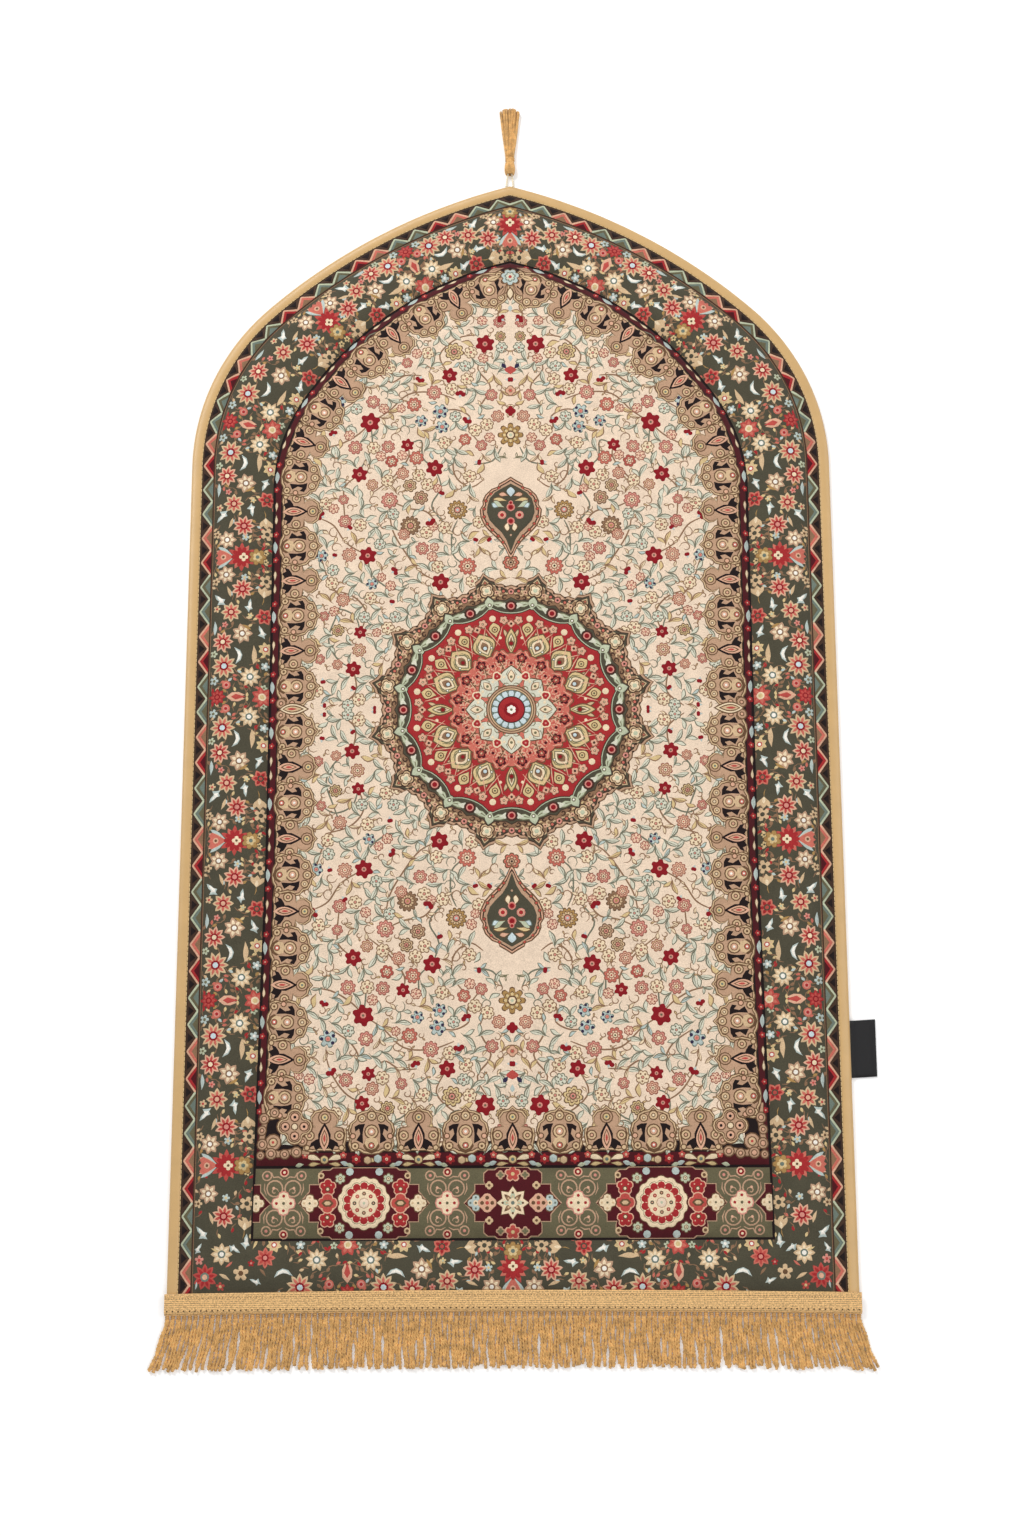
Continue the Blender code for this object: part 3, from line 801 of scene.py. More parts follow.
def paint_pink_heart(brush):
    """Pink curls between the flames and the pale petals."""
    brush.fill(ring_loop(lowered(HEART_EDGE, -1.4)), "brown")
    brush.fill(ring_loop(HEART_EDGE), "salmon")
    for place in sector_brushes(brush, True):
        place.at(0, 57.5).fill(lobed(6.0, 4.0, 5, 4), "wine")
        place.at(0, 57.5).fill(lobed(3.4, 2.2, 5, 3), "coral")
        place.at(0, 57.5).fill(disc(1.4, 5), "peach")
        place.at(0, 48.5).fill(lobed(3.4, 2.2, 5, 4), "brown")
        place.at(0, 48.5).fill(disc(1.5, 6), "straw")
    for place in sector_brushes(brush):
        for half in halves(place):
            for x, y, size, turn in ((0.6, 46.0, 8.4, 0), (5.0, 50.5, 7.0, 30), (1.5, 55.0, 6.4, 60)):
                half.at(x, y, -turn).line(spiral_path(size, 0.9), 1.5, "peach")
            half.line([(5.0, 41.0), (9.8, 47.0), (8.6, 53.0), (11.0, 60.0)], 1.3, "brown")
            half.line([(1.0, 43.0), (4.0, 48.0), (3.0, 54.0), (5.6, 60.0)], 1.1, "coral")
            half.line([(2.6, 59.0), (7.4, 62.0), (11.0, 65.0)], 1.2, "peach")
        place.fill(disc(1.8, 6, 0, 51.5), "wine")
    for place in sector_brushes(brush, True, 8):
        place.fill(leaf(9.0, 7.4, 0, 6, -0.2), "cream")


def paint_pale_petals(brush):
    """Eight pale petals with a red heart between neighbours."""
    for k, place in enumerate(sector_brushes(brush, False, 8)):
        reach = 24.5 if k % 2 == 0 else 21.5
        petal = place.at(0, 23.5)
        petal.fill(leaf(reach + 1.4, 27.0, 0, 8, -0.12), "brown")
        petal.fill(leaf(reach, 24.4, 0, 8, -0.12), "frost")
        for half in halves(petal):
            half.at(2.0, 4.0, -30).line(spiral_path(9.0, 0.9), 1.2, "sage")
            half.line([(1.0, 12.0), (5.4, 15.0), (3.0, 20.0)], 1.1, "sage")
            half.fill(disc(1.7, 6, 7.6, 12.0), "cream")
        petal.at(0, 6.0).fill(leaf(0.60 * reach, 8.6, 0, 6, 0.0), "taupe")
        petal.at(0, 7.4).fill(leaf(0.50 * reach, 6.2, 0, 6, 0.0), "cream")
        petal.fill(disc(1.7, 6, 0, 12.5), "sage")
    for place in sector_brushes(brush, True, 8):
        heart = place.at(0, 39.5)
        heart.fill(lobed(5.6, 4.6, 3, 4), "cream")
        heart.fill(lobed(4.0, 3.1, 3, 4), "red")
        heart.fill(disc(1.2, 5), "pink")


def paint_centre(brush):
    """Rings, pale segments and the flower in the middle."""
    rings = ((27.0, "brown"), (25.7, "tan"), (24.3, "brown"), (23.2, "sand"), (22.0, "brown"),
             (21.2, "slate"))
    for radius, colour in rings:
        brush.fill(disc(radius, 40), colour)
    for place in sector_brushes(brush, False):
        place.at(0, 14.8).fill([(-2.1, 0), (2.1, 0), (3.0, 3.4), (1.9, 5.8), (-1.9, 5.8),
                                (-3.0, 3.4)], "sky")
    brush.fill(lobed(14.8, 14.0, SECTORS, 3), "wine")
    brush.fill(disc(13.6, 32), "red")
    brush.fill(lobed(8.0, 6.8, 8, 3), "ruby")
    brush.fill(lobed(4.9, 4.0, 6, 4), "white")
    brush.fill(disc(1.5, 7), "sage")


def medallion_ground():
    """Upper right quarter of the medallion."""
    edge = [p for p in medallion_edge() if p[0] > 1e-5 and p[1] > MEDALLION_Y + 1e-5]
    edge.sort(key=lambda p: math.atan2(p[1] - MEDALLION_Y, p[0]))
    reach = 0.001 * MEDALLION_EDGE[0][1]
    corners = [(reach, MEDALLION_Y)] + edge + [(0.0, MEDALLION_Y + reach)]
    return (corners + line_points(corners[-1], (0.0, MEDALLION_Y), OUTLINE_STEP)[1:]
            + line_points((0.0, MEDALLION_Y), (reach, MEDALLION_Y), OUTLINE_STEP)[1:-1])


def paint_medallion(material):
    canvas = Canvas("face_medallion", medallion_ground(), "brown", FOUR_QUARTERS)
    brush = Brush(canvas, 0.0, MEDALLION_Y)
    paint_outer_band(brush)
    paint_olive_band(brush)
    paint_red_ring(brush)
    paint_flames(brush)
    paint_pink_heart(brush)
    paint_pale_petals(brush)
    paint_centre(brush)
    return canvas.build(material)


# ---- field --------------------------------------------------------------------
#    x    y from the medallion  radius, all in millimetres
RED_FLOWERS = [
    (165, 265, 8.8), (83, 272, 9.5), (113, 299, 7.2), (154, 325, 11.0), (148, 385, 7.2),
    (67, 380, 8.6), (154, 415, 7.8), (28, 417, 10.4), (155, 172, 9.6), (162, 86, 7.0), (169, 45, 8.4),
    (76, 142, 9.6),
]
#    x    y    size  turn
RED_BUDS = [
    (202, 215, 8.0, -60), (90, 215, 8.5, 150), (77, 238, 7.0, 20), (40, 279, 7.0, 95),
    (193, 308, 7.2, -20), (45, 332, 8.0, -150), (56, 353, 8.4, 10), (189, 378, 8.4, 30),
    (98, 380, 7.6, 200), (6, 444, 8.0, -55), (6, 375, 6.0, 90),
    (130, 152, 7.4, 60), (129, 115, 6.6, 10), (178, 200, 6.6, 40), (207, 138, 8.4, -70),
    (202, 36, 6.4, 170), (172, 20, 6.6, 40), (204, 5, 6.0, 90), (40, 185, 6.6, 20),
    (20, 186, 6.6, -40), (150, 2, 5.4, 90), (192, 168, 6.2, 15),
]
#    x    y    radius  petals fill  heart
PINK_FLOWERS = [
    (132, 235, 9.6, 9, "pink", "olive"), (180, 211, 8.0, 7, "pink", "ruby"),
    (130, 280, 7.6, 6, "coral", "slate"), (118, 266, 7.6, 7, "peach", "coral"),
    (151, 253, 7.0, 7, "sand", "coral"), (134, 297, 7.8, 8, "pink", "earth"),
    (170, 296, 8.4, 8, "pink", "ochre"), (103, 284, 8.6, 8, "salmon", "red"),
    (106, 346, 8.8, 8, "salmon", "moss"), (84, 360, 8.8, 9, "pink", "olive"),
    (151, 349, 8.2, 7, "pink", "cream"), (171, 391, 7.8, 8, "pink", "olive"),
    (144, 400, 7.6, 7, "peach", "brown"), (12, 443, 7.4, 8, "pink", "brown"),
    (32, 298, 7.0, 6, "pink", "red"), (50, 305, 7.4, 6, "salmon", "ruby"),
    (21, 357, 7.4, 7, "pink", "coral"), (14, 332, 7.6, 7, "peach", "coral"),
    (114, 395, 6.6, 6, "pink", "coral"),
    (47, 160, 10.2, 10, "salmon", "earth"), (181, 122, 7.8, 9, "peach", "salmon"),
    (175, 173, 8.4, 10, "peach", "salmon"), (201, 104, 6.0, 6, "pink", "ruby"),
    (205, 56, 6.2, 7, "pink", "salmon"), (186, 50, 6.2, 7, "peach", "salmon"),
    (163, 66, 8.0, 8, "sand", "moss"), (182, 236, 6.2, 6, "pink", "coral"),
    (96, 180, 7.8, 8, "pink", "brown"), (116, 196, 7.0, 7, "peach", "coral"),
]
OCHRE_FLOWERS = [
    (109, 206, 11.4, 12, "taupe", "ochre"), (58, 224, 11.4, 12, "ochre", "mist"),
    (62, 408, 11.0, 8, "straw", "moss"), (11, 426, 6.6, 8, "straw", "ochre"),
    (98, 238, 8.6, 7, "tan", "brown"),
    (110, 252, 8.0, 7, "sand", "brown"), (128, 420, 8.0, 8, "straw", "coral"),
    (186, 88, 7.4, 8, "straw", "moss"),
]
#    x    y    radius
BLUE_FLOWERS = [
    (190, 349, 9.8), (77, 338, 9.0), (75, 320, 8.0), (98, 327, 7.4), (205, 172, 7.6),
    (150, 140, 7.0),
]
#    points of a stem, x and y in millimetres from the medallion
STEMS = [
    [(154, 325), (152, 296), (166, 268)],
    [(154, 325), (134, 338), (112, 358), (84, 360), (60, 352)],
    [(154, 325), (166, 312), (186, 300), (206, 296)],
    [(83, 272), (76, 250), (86, 228), (70, 206), (62, 190)],
    [(132, 235), (112, 226), (92, 222), (80, 208)],
    [(171, 391), (158, 372), (166, 354), (186, 340)],
    [(144, 400), (160, 408), (156, 430), (120, 432), (104, 418), (98, 396)],
    [(67, 380), (78, 404), (58, 424), (34, 428)],
    [(26, 408), (36, 388), (22, 366), (34, 340), (24, 318)],
    [(155, 172), (150, 150), (128, 134), (110, 140)],
    [(155, 172), (178, 186), (192, 206), (206, 214)],
    [(76, 142), (96, 152), (112, 172), (128, 200), (132, 226)],
    [(169, 45), (186, 56), (196, 78), (188, 104), (181, 122)],
    [(162, 86), (156, 108), (170, 126), (196, 134)],
    [(169, 45), (166, 20), (184, 4)],
    [(47, 160), (62, 172), (64, 196), (58, 212)],
    [(113, 299), (112, 284), (128, 262), (150, 244)],
    [(49, 302), (62, 284), (60, 262), (44, 250), (30, 258)],
    [(10, 296), (20, 280), (40, 276)],
    [(148, 385), (132, 372), (116, 380), (98, 380)],
    [(154, 415), (172, 404), (186, 384), (192, 366)],
    [(201, 104), (186, 112), (168, 104), (162, 86)],
    [(181, 122), (196, 142), (206, 172)],
    [(165, 265), (180, 252), (182, 236), (180, 211)],
    [(83, 272), (96, 284), (98, 304), (113, 299)],
    [(32, 298), (46, 318), (45, 332), (60, 340), (77, 338)],
]
#    kind       size  rim      fill
FILLINGS = [
    ("split", 17.0, "fern", "frost"),
    ("rosette", 7.8, "taupe", "cream"),
    ("split", 16.0, "taupe", "straw"),
    ("curl", 17.0, "fern", "frost"),
    ("curl", 16.0, "taupe", "cream"),
    ("rosette", 7.0, "fern", "frost"),
    ("leaf", 15.0, "taupe", "straw"),
    ("split", 14.0, "fern", "mist"),
    ("rosette", 6.2, "rosewood", "blush"),
    ("curl", 14.0, "fern", "frost"),
    ("split", 13.0, "taupe", "cream"),
    ("leaf", 13.0, "fern", "frost"),
    ("leaf", 12.0, "taupe", "straw"),
    ("curl", 11.0, "taupe", "cream"),
    ("split", 11.0, "fern", "frost"),
    ("curl", 10.0, "taupe", "straw"),
    ("rosette", 5.4, "rosewood", "blush"),
    ("leaf", 10.0, "fern", "mist"),
    ("curl", 8.5, "taupe", "straw"),
    ("leaf", 8.0, "taupe", "cream"),
]


def inner_outline(inset, bottom):
    """Closed line inside the field's trough, at the given inset."""
    side = INNER.right_half(inset, bottom, OUTLINE_STEP)
    return mirrored([(x + float(flare(y)), y) for x, y in side])


class Crowd:
    """Rounds that are already drawn, as x, y and radius."""

    def __init__(self, rounds):
        self.rounds = np.array(rounds, dtype=float)

    def add(self, x, y, reach):
        self.rounds = np.vstack([self.rounds, (x, y, reach)])

    def meets(self, x, y, reach):
        """True where a round of the given reach would touch one of them."""
        known = self.rounds
        gaps = (known[:, 0] - x) ** 2 + (known[:, 1] - y) ** 2
        return bool((gaps < (known[:, 2] + reach) ** 2).any())


def paint_stems(brush):
    for i, points in enumerate(STEMS):
        brush.line(smooth(points, 5), 1.8, "taupe" if i % 3 else "fern", 0.5)


def paint_field_flowers(brush):
    for x, y, radius in BLUE_FLOWERS:
        place = brush.at(x, y, 20)
        bloom(place, radius, 6, "slate", "mist", "pink", "salmon", 0.6)
        for turn in (30, 100, 170, 250):
            place.at(0, 0, turn).fill(disc(0.21 * radius, 6, 0.0, 0.66 * radius), "navy")
    for x, y, radius, petals, fill, heart in OCHRE_FLOWERS:
        bloom(brush.at(x, y, 11), radius, petals, "brown", fill, "pink", heart, 0.78, "sand")
    for x, y, radius, petals, fill, heart in PINK_FLOWERS:
        bloom(brush.at(x, y, 17), radius, petals, "rosewood", fill, "cream", heart, 0.78,
              "blush")
    for x, y, size, turn in RED_BUDS:
        bud(brush.at(x, y, turn), size, "ruby", "mist", 3 if size > 7.0 else 2)
    for x, y, radius in RED_FLOWERS:
        petal_flower(brush.at(x, y, 9), 1.06 * radius, 6, "ruby", "pink", "moss")


def field_taken():
    """Rounds that the filling keeps clear of, as x, y, radius."""
    taken = [(x, y, r) for x, y, r in RED_FLOWERS]
    taken += [(x, y, 0.8 * s) for x, y, s, _ in RED_BUDS]
    taken += [(row[0], row[1], row[2]) for row in PINK_FLOWERS + OCHRE_FLOWERS + BLUE_FLOWERS]
    taken += [(0, 238, 37), (0, 205, 14), (0, 188, 8), (0, 282, 12), (0, 310, 15), (0, 0, 141)]
    taken += [(0, 164, 12)]
    return taken


def paint_filling(brush, kind, size, rim, fill, draw):
    if kind == "split":
        split_leaf(brush.at(0, -0.5 * size), size, rim, fill)
    elif kind == "leaf":
        bend = size * draw.choice((-0.4, 0.4))
        scroll_leaf(brush.at(0, -0.5 * size), size, 0.50 * size, bend, rim, fill)
    elif kind == "curl":
        curl(brush.at(-0.3 * size, -0.2 * size), size, rim, fill)
    else:
        rosette(brush, size, rim, fill, "pink")


def paint_scroll_ground(brush, upper, seed):
    """Fills the ground between the flowers with leaves and curls, large ones first."""
    draw = random.Random(seed)
    taken = Crowd(field_taken())
    stems = Crowd([(x, y, 1.0) for points in STEMS for x, y in smooth(points, 6)])
    for kind, size, rim, fill in FILLINGS:
        reach = 0.9 * size if kind == "rosette" else 0.42 * size
        for _ in range(1500):
            x = draw.uniform(0.0, 250.0)
            y = draw.uniform(0.0, 480.0)
            turn = draw.uniform(-80.0, 80.0)
            if taken.meets(x, y, reach) or stems.meets(x, y, 0.1 * reach):
                continue
            if not in_quarter(x, y, reach, upper):
                continue
            turn += math.degrees(math.atan2(y - 240.0, x - 110.0))
            paint_filling(brush.at(x, y, turn), kind, size, rim, fill, draw)
            taken.add(x, y, 0.70 * reach)


def in_quarter(x, y, reach, upper):
    """Inside the part of the field's quarter that the filling covers, in its millimetres."""
    if x < reach - 1.0 or y < reach - 1.0:
        return False
    if upper:
        return float(INNER.depth(0.001 * x, MEDALLION_Y + 0.001 * y)) > 0.028
    return 0.001 * x < INNER.half_width - 0.026 and MEDALLION_Y - 0.001 * y > FIELD_BOTTOM + 0.02


def field_ground(upper):
    """Right half of the field, over or under the medallion's middle."""
    right = [p for p in inner_outline(0.0, FIELD_BOTTOM) if p[0] > -1e-6]
    if upper:
        edge = [p for p in right if p[1] > MEDALLION_Y + 0.002]
        edge = [(INNER.half_width, MEDALLION_Y)] + edge
        return edge + line_points(edge[-1], (0.0, MEDALLION_Y), OUTLINE_STEP)[1:]
    edge = [p for p in right if p[1] < MEDALLION_Y - 0.002] + [(INNER.half_width, MEDALLION_Y)]
    foot = line_points((0.0, FIELD_BOTTOM), edge[0], OUTLINE_STEP)[:-1]
    return foot + edge + line_points(edge[-1], (0.0, MEDALLION_Y), OUTLINE_STEP)[1:]


def medallion_edge():
    return [(0.001 * x, MEDALLION_Y + 0.001 * y) for x, y in ring_loop(MEDALLION_EDGE)]


def paint_field(material, upper):
    name = "face_field_upper" if upper else "face_field_lower"
    canvas = Canvas(name, field_ground(upper), "black", BOTH_SIDES, medallion_edge())
    # The black ground stays bare in a band 1.6 mm wide along the seam: painted shade of the seam's
    # trough.
    canvas.paint(inner_outline(0.0016, FIELD_BOTTOM + 0.0016), "wine", 0.0)
    canvas.paint(inner_outline(0.008, FIELD_BOTTOM + 0.0145), "black", 0.0)
    canvas.paint(inner_outline(0.026, FIELD_BOTTOM + 0.026), "ivory", 0.0)
    brush = Brush(canvas, 0.0, MEDALLION_Y, 0.0 if upper else 180.0, 1.0, not upper)
    paint_stems(brush)
    paint_scroll_ground(brush, upper, 11)
    paint_field_flowers(brush)
    paint_axis_flowers(brush)
    paint_pendant(brush.at(0.0, 223))
    paint_frieze(canvas)
    return canvas.build(material)


def paint_both_fields(material):
    """The field over the medallion, and the same flowers under it."""
    return paint_field(material, True) + paint_field(material, False)


def paint_axis_flowers(brush):
    """Flowers on the rug's axis, over and under the medallion."""
    bloom(brush.at(0, 310), 14.5, 8, "brown", "ochre", "cream", "celadon", 0.62, "straw")
    bloom(brush.at(0, 164), 9.5, 8, "brown", "salmon", "tan", "black", 0.8, "peach")
    brush.at(0, 172).fill(leaf(9, 12, 0, 5, 0.0), "mist")
    split_leaf(brush.at(5, 283, -50), 9, "sage", "ivory")
    split_leaf(brush.at(8, 186, -35), 11, "slate", "ivory")
    brush.at(0, 338).fill(lobed(6.0, 4.2, 4), "ruby")
    bloom(brush.at(0, 362, 0), 6.4, 4, "taupe", "peach", "salmon", "coral", 0.8)
    brush.at(0, 381).fill(leaf(10, 13, 0, 6, 0.2), "coral")
    for x, y, turn in ((4.5, 388, -40), (0, 396, 0), (0, 455, 0)):
        brush.at(x, y, turn).fill(leaf(8, 5.0, 0, 4, 0.2), "navy" if x else "mist")


def paint_pendant(brush):
    """Pointed drop between the medallion and the field's ends; +y points away from it."""
    drop = [(0, 39), (6, 35), (13, 31), (14, 27.5), (21, 25), (28, 18), (31, 11), (30.5, 7),
            (34, 1), (33, -8), (29, -17), (24, -23), (20, -27), (12, -35), (6, -44), (2.2, -53),
            (0, -56)]
    for shrink, colour in ((1.0, "brown"), (0.955, "peach"), (0.915, "earth"), (0.87, "tan")):
        outline = [(x * shrink, 1.0 + (y - 1.0) * shrink) for x, y in drop]
        brush.fill(outline + [(-x, y) for x, y in outline[-2:0:-1]], colour)
    for x, y in ((29, 2), (27, 11), (29, -7), (25.5, -15), (20, -22), (13.5, -29), (8.5, -36),
                 (21.5, 19), (13, 26)):
        for side in (1, -1):
            brush.fill(disc(2.3, 7, side * x, y), "brown")
            brush.fill(disc(1.3, 6, side * x, y), "coral")
    ground = [(0, 31), (9, 26), (17, 21), (23, 14), (25.5, 5), (26, -2), (23, -11), (17, -18),
              (10, -25), (5, -33), (1.5, -43), (0, -47)]
    for shrink, colour in ((1.04, "tan"), (1.0, "olive")):
        outline = [(x * shrink, y * shrink) for x, y in ground]
        brush.fill(outline + [(-x, y) for x, y in outline[-2:0:-1]], colour)
    paint_bouquet(brush)


def paint_bouquet(brush):
    """Leaves and small roses inside a pendant."""
    brush.fill(leaf(9, 8, 0, 5, 0.3), "sky")
    brush.at(0, 16).fill(leaf(11, 9, 0, 5, 0.2), "sky")
    for place in halves(brush):
        scroll_leaf(place.at(2, 17, -70), 12, 6.5, 2.0, "brown", "peach")
        scroll_leaf(place.at(3, 11, -72), 17, 6.0, 3.0, "brown", "straw")
        scroll_leaf(place.at(6, 3, -68), 16, 7.5, -3.0, "brown", "celadon")
        scroll_leaf(place.at(13, 4, -80), 9, 6.5, -3.0, "slate", "sky")
        scroll_leaf(place.at(3, -12, -160), 12, 7.5, 3.0, "brown", "cream")
        for radius, colour in ((4.7, "pink"), (3.4, "peach"), (2.3, "red")):
            place.at(9.5, -5).fill(disc(radius, 9), colour)
    for y, scale in ((4, 1.1), (-12, 1.0), (9, 0.6)):
        for radius, colour in ((4.3, "pink"), (3.1, "coral"), (2.2, "ruby")):
            brush.fill(disc(radius * scale, 9, 0, y), colour)
    brush.fill(disc(1.3, 6, 0, -28), "tan")


# ---- paths round the rug --------------------------------------------------------
class Track:
    """A line of points that motifs follow; their x runs along it and y to its left."""

    def __init__(self, points):
        self.points = points
        self.reached = [0.0]
        for a, b in zip(points, points[1:]):
            self.reached.append(self.reached[-1] + math.dist(a, b))
        self.length = self.reached[-1]

    def spot(self, along):
        along = min(max(along, 0.0), self.length)
        i = min(np.searchsorted(self.reached, along, side="right"), len(self.points) - 1)
        a, b = self.points[i - 1], self.points[i]
        share = (along - self.reached[i - 1]) / (self.reached[i] - self.reached[i - 1])
        return a[0] + (b[0] - a[0]) * share, a[1] + (b[1] - a[1]) * share

    def brush(self, canvas, along, across=0.0, mirror=False):
        """A brush on the track; distances in metres."""
        back = self.spot(along - 0.004)
        ahead = self.spot(along + 0.004)
        turn = math.degrees(math.atan2(ahead[1] - back[1], ahead[0] - back[0]))
        x, y = self.spot(along)
        place = Brush(canvas, x, y, turn, 1.0, mirror)
        return place.at(0.0, 1000.0 * across)

    def nearest(self, x, y):
        """How far along the track the point nearest to a place is."""
        distances = [math.dist((x, y), p) for p in self.points]
        return self.reached[distances.index(min(distances))]


def rounded_corner(x, y, radius):
    """Quarter turn from heading right to heading up."""
    return arc_points((x - radius, y + radius), radius, -0.5 * math.pi, 0.0, TRACK_STEP)


# ---- frieze inside the field's seam ---------------------------------------------
FRIEZE_PITCH = 0.0385


def frieze_track():
    """Up the right side from the middle of the foot to the point; 30 mm inside the seam."""
    depth = 0.030
    right = INNER.half_width + float(flare(FIELD_BOTTOM)) - depth
    points = line_points((0.0, FIELD_BOTTOM + depth), (right - 0.02, FIELD_BOTTOM + depth), TRACK_STEP)
    points += rounded_corner(right, FIELD_BOTTOM + depth, 0.02)
    side = INNER.right_half(depth, FIELD_BOTTOM + depth + 0.024, TRACK_STEP)
    return Track(points + [(x + float(flare(y)), y) for x, y in side])


def palmette_body(b, outline):
    """A palmette's silhouette with its double rim."""
    for scale, colour in ((1.0, "brown"), (0.95, "sand"), (0.89, "brown"), (0.845, "tan")):
        b.fill(both_sides(outline, scale), colour)


def wide_palmette(b):
    """Broad palmette with a scalloped cap; y runs from the seam to the field."""
    cap = [(0, 32), (4.5, 27.5), (10, 26.5), (16, 23.5), (17.5, 18), (22.5, 14), (24.5, 6),
           (22.5, -1), (24, -8), (21, -15), (13, -14), (8, -17), (0, -18)]
    palmette_body(b, cap)
    for radius, colour in ((5.4, "brown"), (4.1, "sand"), (2.2, "brown"), (1.3, "cream")):
        b.fill(disc(radius, 10, 0, 21.5), colour)
        for x in (-9.8, 9.8):
            b.fill(disc(0.86 * radius, 9, x, 19.0), colour)
    for half in halves(b):
        half.fill([(6.5, 13.5), (13, 13), (17.5, 10.5), (16.5, 5.5), (12.8, 8.5), (11.5, 3),
                   (15.5, -3), (8.5, -6.5), (9.0, 3), (8.2, 9)], "black")
        half.fill(disc(3.4, 9, 19.0, 1.0), "brown")
        half.fill(disc(2.2, 8, 19.0, 1.0), "peach")
        half.fill(disc(4.6, 9, 16.6, -9.0), "brown")
        half.fill(disc(3.3, 8, 16.6, -9.0), "sand")
        half.fill(disc(1.5, 6, 16.6, -9.0), "brown")
        half.line([(21.0, -6), (22.6, 2), (21.4, 9)], 1.2, "brown")
    discs(b, ((7.6, "brown"), (6.2, "sand"), (4.4, "taupe"), (3.2, "peach"),
              (1.4, "white")), 12, 0, 5.5)
    for scale, colour in ((1.0, "brown"), (0.84, "sand")):
        b.fill(both_sides([(0, -1.5), (6.5, -3.5), (8.5, -9), (5, -14.5), (0, -16.5)], scale), colour)
    discs(b, ((3.6, "brown"), (2.6, "salmon"), (1.2, "white")), 8, 0, -8.4)


def both_sides(half, scale):
    """Closes a right-hand outline with its mirror image."""
    right = [(x * scale, 8.0 + (y - 8.0) * scale) for x, y in half]
    inner = [(-x, y) for x, y in right if x > 0.001]
    return right + inner[::-1]


def spear_palmette(b):
    """Narrow palmette: trefoil head over a dark spear with a pink drop."""
    head = [(0, 32), (4, 28.5), (10.5, 27), (15, 21), (14, 14.5), (11, 11), (15, 10.5),
            (22.5, 8.5), (23.5, 0.5), (21.5, -8), (22.5, -14), (13, -15.5), (7, -14), (0, -14)]
    palmette_body(b, head)
    discs(b, ((7.0, "brown"), (5.8, "tan"), (4.2, "brown"), (3.0, "straw"),
              (1.3, "slate")), 11, 0, 20.0)
    for half in halves(b):
        discs(half, ((5.6, "brown"), (4.3, "sand"), (2.5, "brown"), (1.4, "peach")), 9, 15.2, 1.6)
        half.line([(9.0, 10.5), (18.0, 9.5), (21.0, 3.5), (19.6, -6.0)], 1.2, "brown")
        half.fill([(5.0, -1.0), (9.0, -2.5), (13.5, -5.5), (15.5, -10.5), (11.0, -8.5),
                   (8.5, -13.5), (4.0, -10.0)], "black")
        half.fill(disc(3.4, 8, 17.6, -10.6), "brown")
        half.fill(disc(2.2, 7, 17.6, -10.6), "sand")
    b.fill(both_sides([(0, 15), (3.6, 9), (6.4, 3), (6.2, -6), (3.6, -11), (0, -13)], 1.0), "black")
    b.at(0, -14).fill(leaf(25, 9.4, 0, 8, -0.1), "peach")
    b.at(0, -10).fill(leaf(18, 6.4, 0, 7, -0.1), "brown")
    b.at(0, -8).fill(leaf(14, 4.4, 0, 7, -0.1), "peach")
    b.at(0, -5).fill(leaf(8, 2.4, 0, 6, -0.1), "coral")


def side_strip(b, kind):
    """What stands in the narrow dark strip up the sides and round the arch."""
    if kind == "spear":
        for half in halves(b):
            scroll_leaf(half.at(1.0, -29.5, -84), 15.0, 5.4, 1.2, "brown", "cream")
    else:
        b.at(-8.5, -29.5, -90).fill(leaf(17.0, 6.4, 1.0, 6, 0.1), "mist")
        for x in (-17.0, 17.5):
            petal_flower(b.at(x, -29.0), 4.8, 5, "red", "pink", "cream", "wine")


def base_leaves(b):
    """Cream leaves and a bud under a spear palmette, in the dark strip."""
    for half in halves(b):
        scroll_leaf(half.at(1.5, -23.5, -62), 18.5, 7.6, 4.5, "brown", "cream")
        scroll_leaf(half.at(3.0, -26.2, -92), 14.5, 5.6, 1.0, "brown", "straw")
        petal_flower(half.at(19.5, -18.0), 4.4, 5, "coral", "cream", "red", "wine")
        half.at(21.0, -27.0, -95).fill(leaf(9.0, 4.2, 1.0, 5, 0.2), "celadon")
    b.at(0, -22.5).fill(lobed(4.8, 4.0, 6, 3), "brown")
    b.at(0, -22.5).fill(lobed(3.9, 3.2, 6, 3), "straw")
    b.at(0, -22.5).fill(disc(1.9, 7), "slate")


def strip_roses(b):
    """What stands in the dark strip under a broad palmette."""
    for half in halves(b):
        petal_flower(half.at(15.5, -22.0), 5.8, 6, "red", "cream", "coral", "wine")
        scroll_leaf(half.at(7.5, -24.5, 72), 12.5, 5.6, -1.6, "brown", "straw")
        half.at(22.0, -27.5, -80).fill(leaf(10.0, 4.6, -1.0, 5, 0.2), "mist")
    b.at(-6.5, -21.5).fill(lobed(4.8, 4.0, 6, 3), "brown")
    b.at(-6.5, -21.5).fill(lobed(4.0, 3.2, 6, 3), "mist")
    b.at(4.0, -23.0).fill(lobed(4.4, 3.6, 6, 3), "brown")
    b.at(4.0, -23.0).fill(lobed(3.6, 2.8, 6, 3), "sand")


def side_knot(b):
    """Almond between two curls, where the side's palmettes meet in mirror image."""
    for half in halves(b):
        discs(half, ((6.2, "brown"), (4.8, "tan"), (2.6, "brown"), (1.5, "peach")), 10, 6.5, -17.5)
    almond = b.at(0, -20.0)
    for drop, length, width, colour in ((0.0, 33.0, 14.0, "brown"), (1.6, 29.0, 11.0, "cream"),
                                        (4.0, 23.5, 8.0, "brown"), (5.6, 19.5, 5.6, "sand"),
                                        (9.0, 11.0, 2.6, "coral")):
        almond.at(0, drop).fill(leaf(length, width, 0, 8, -0.1), colour)


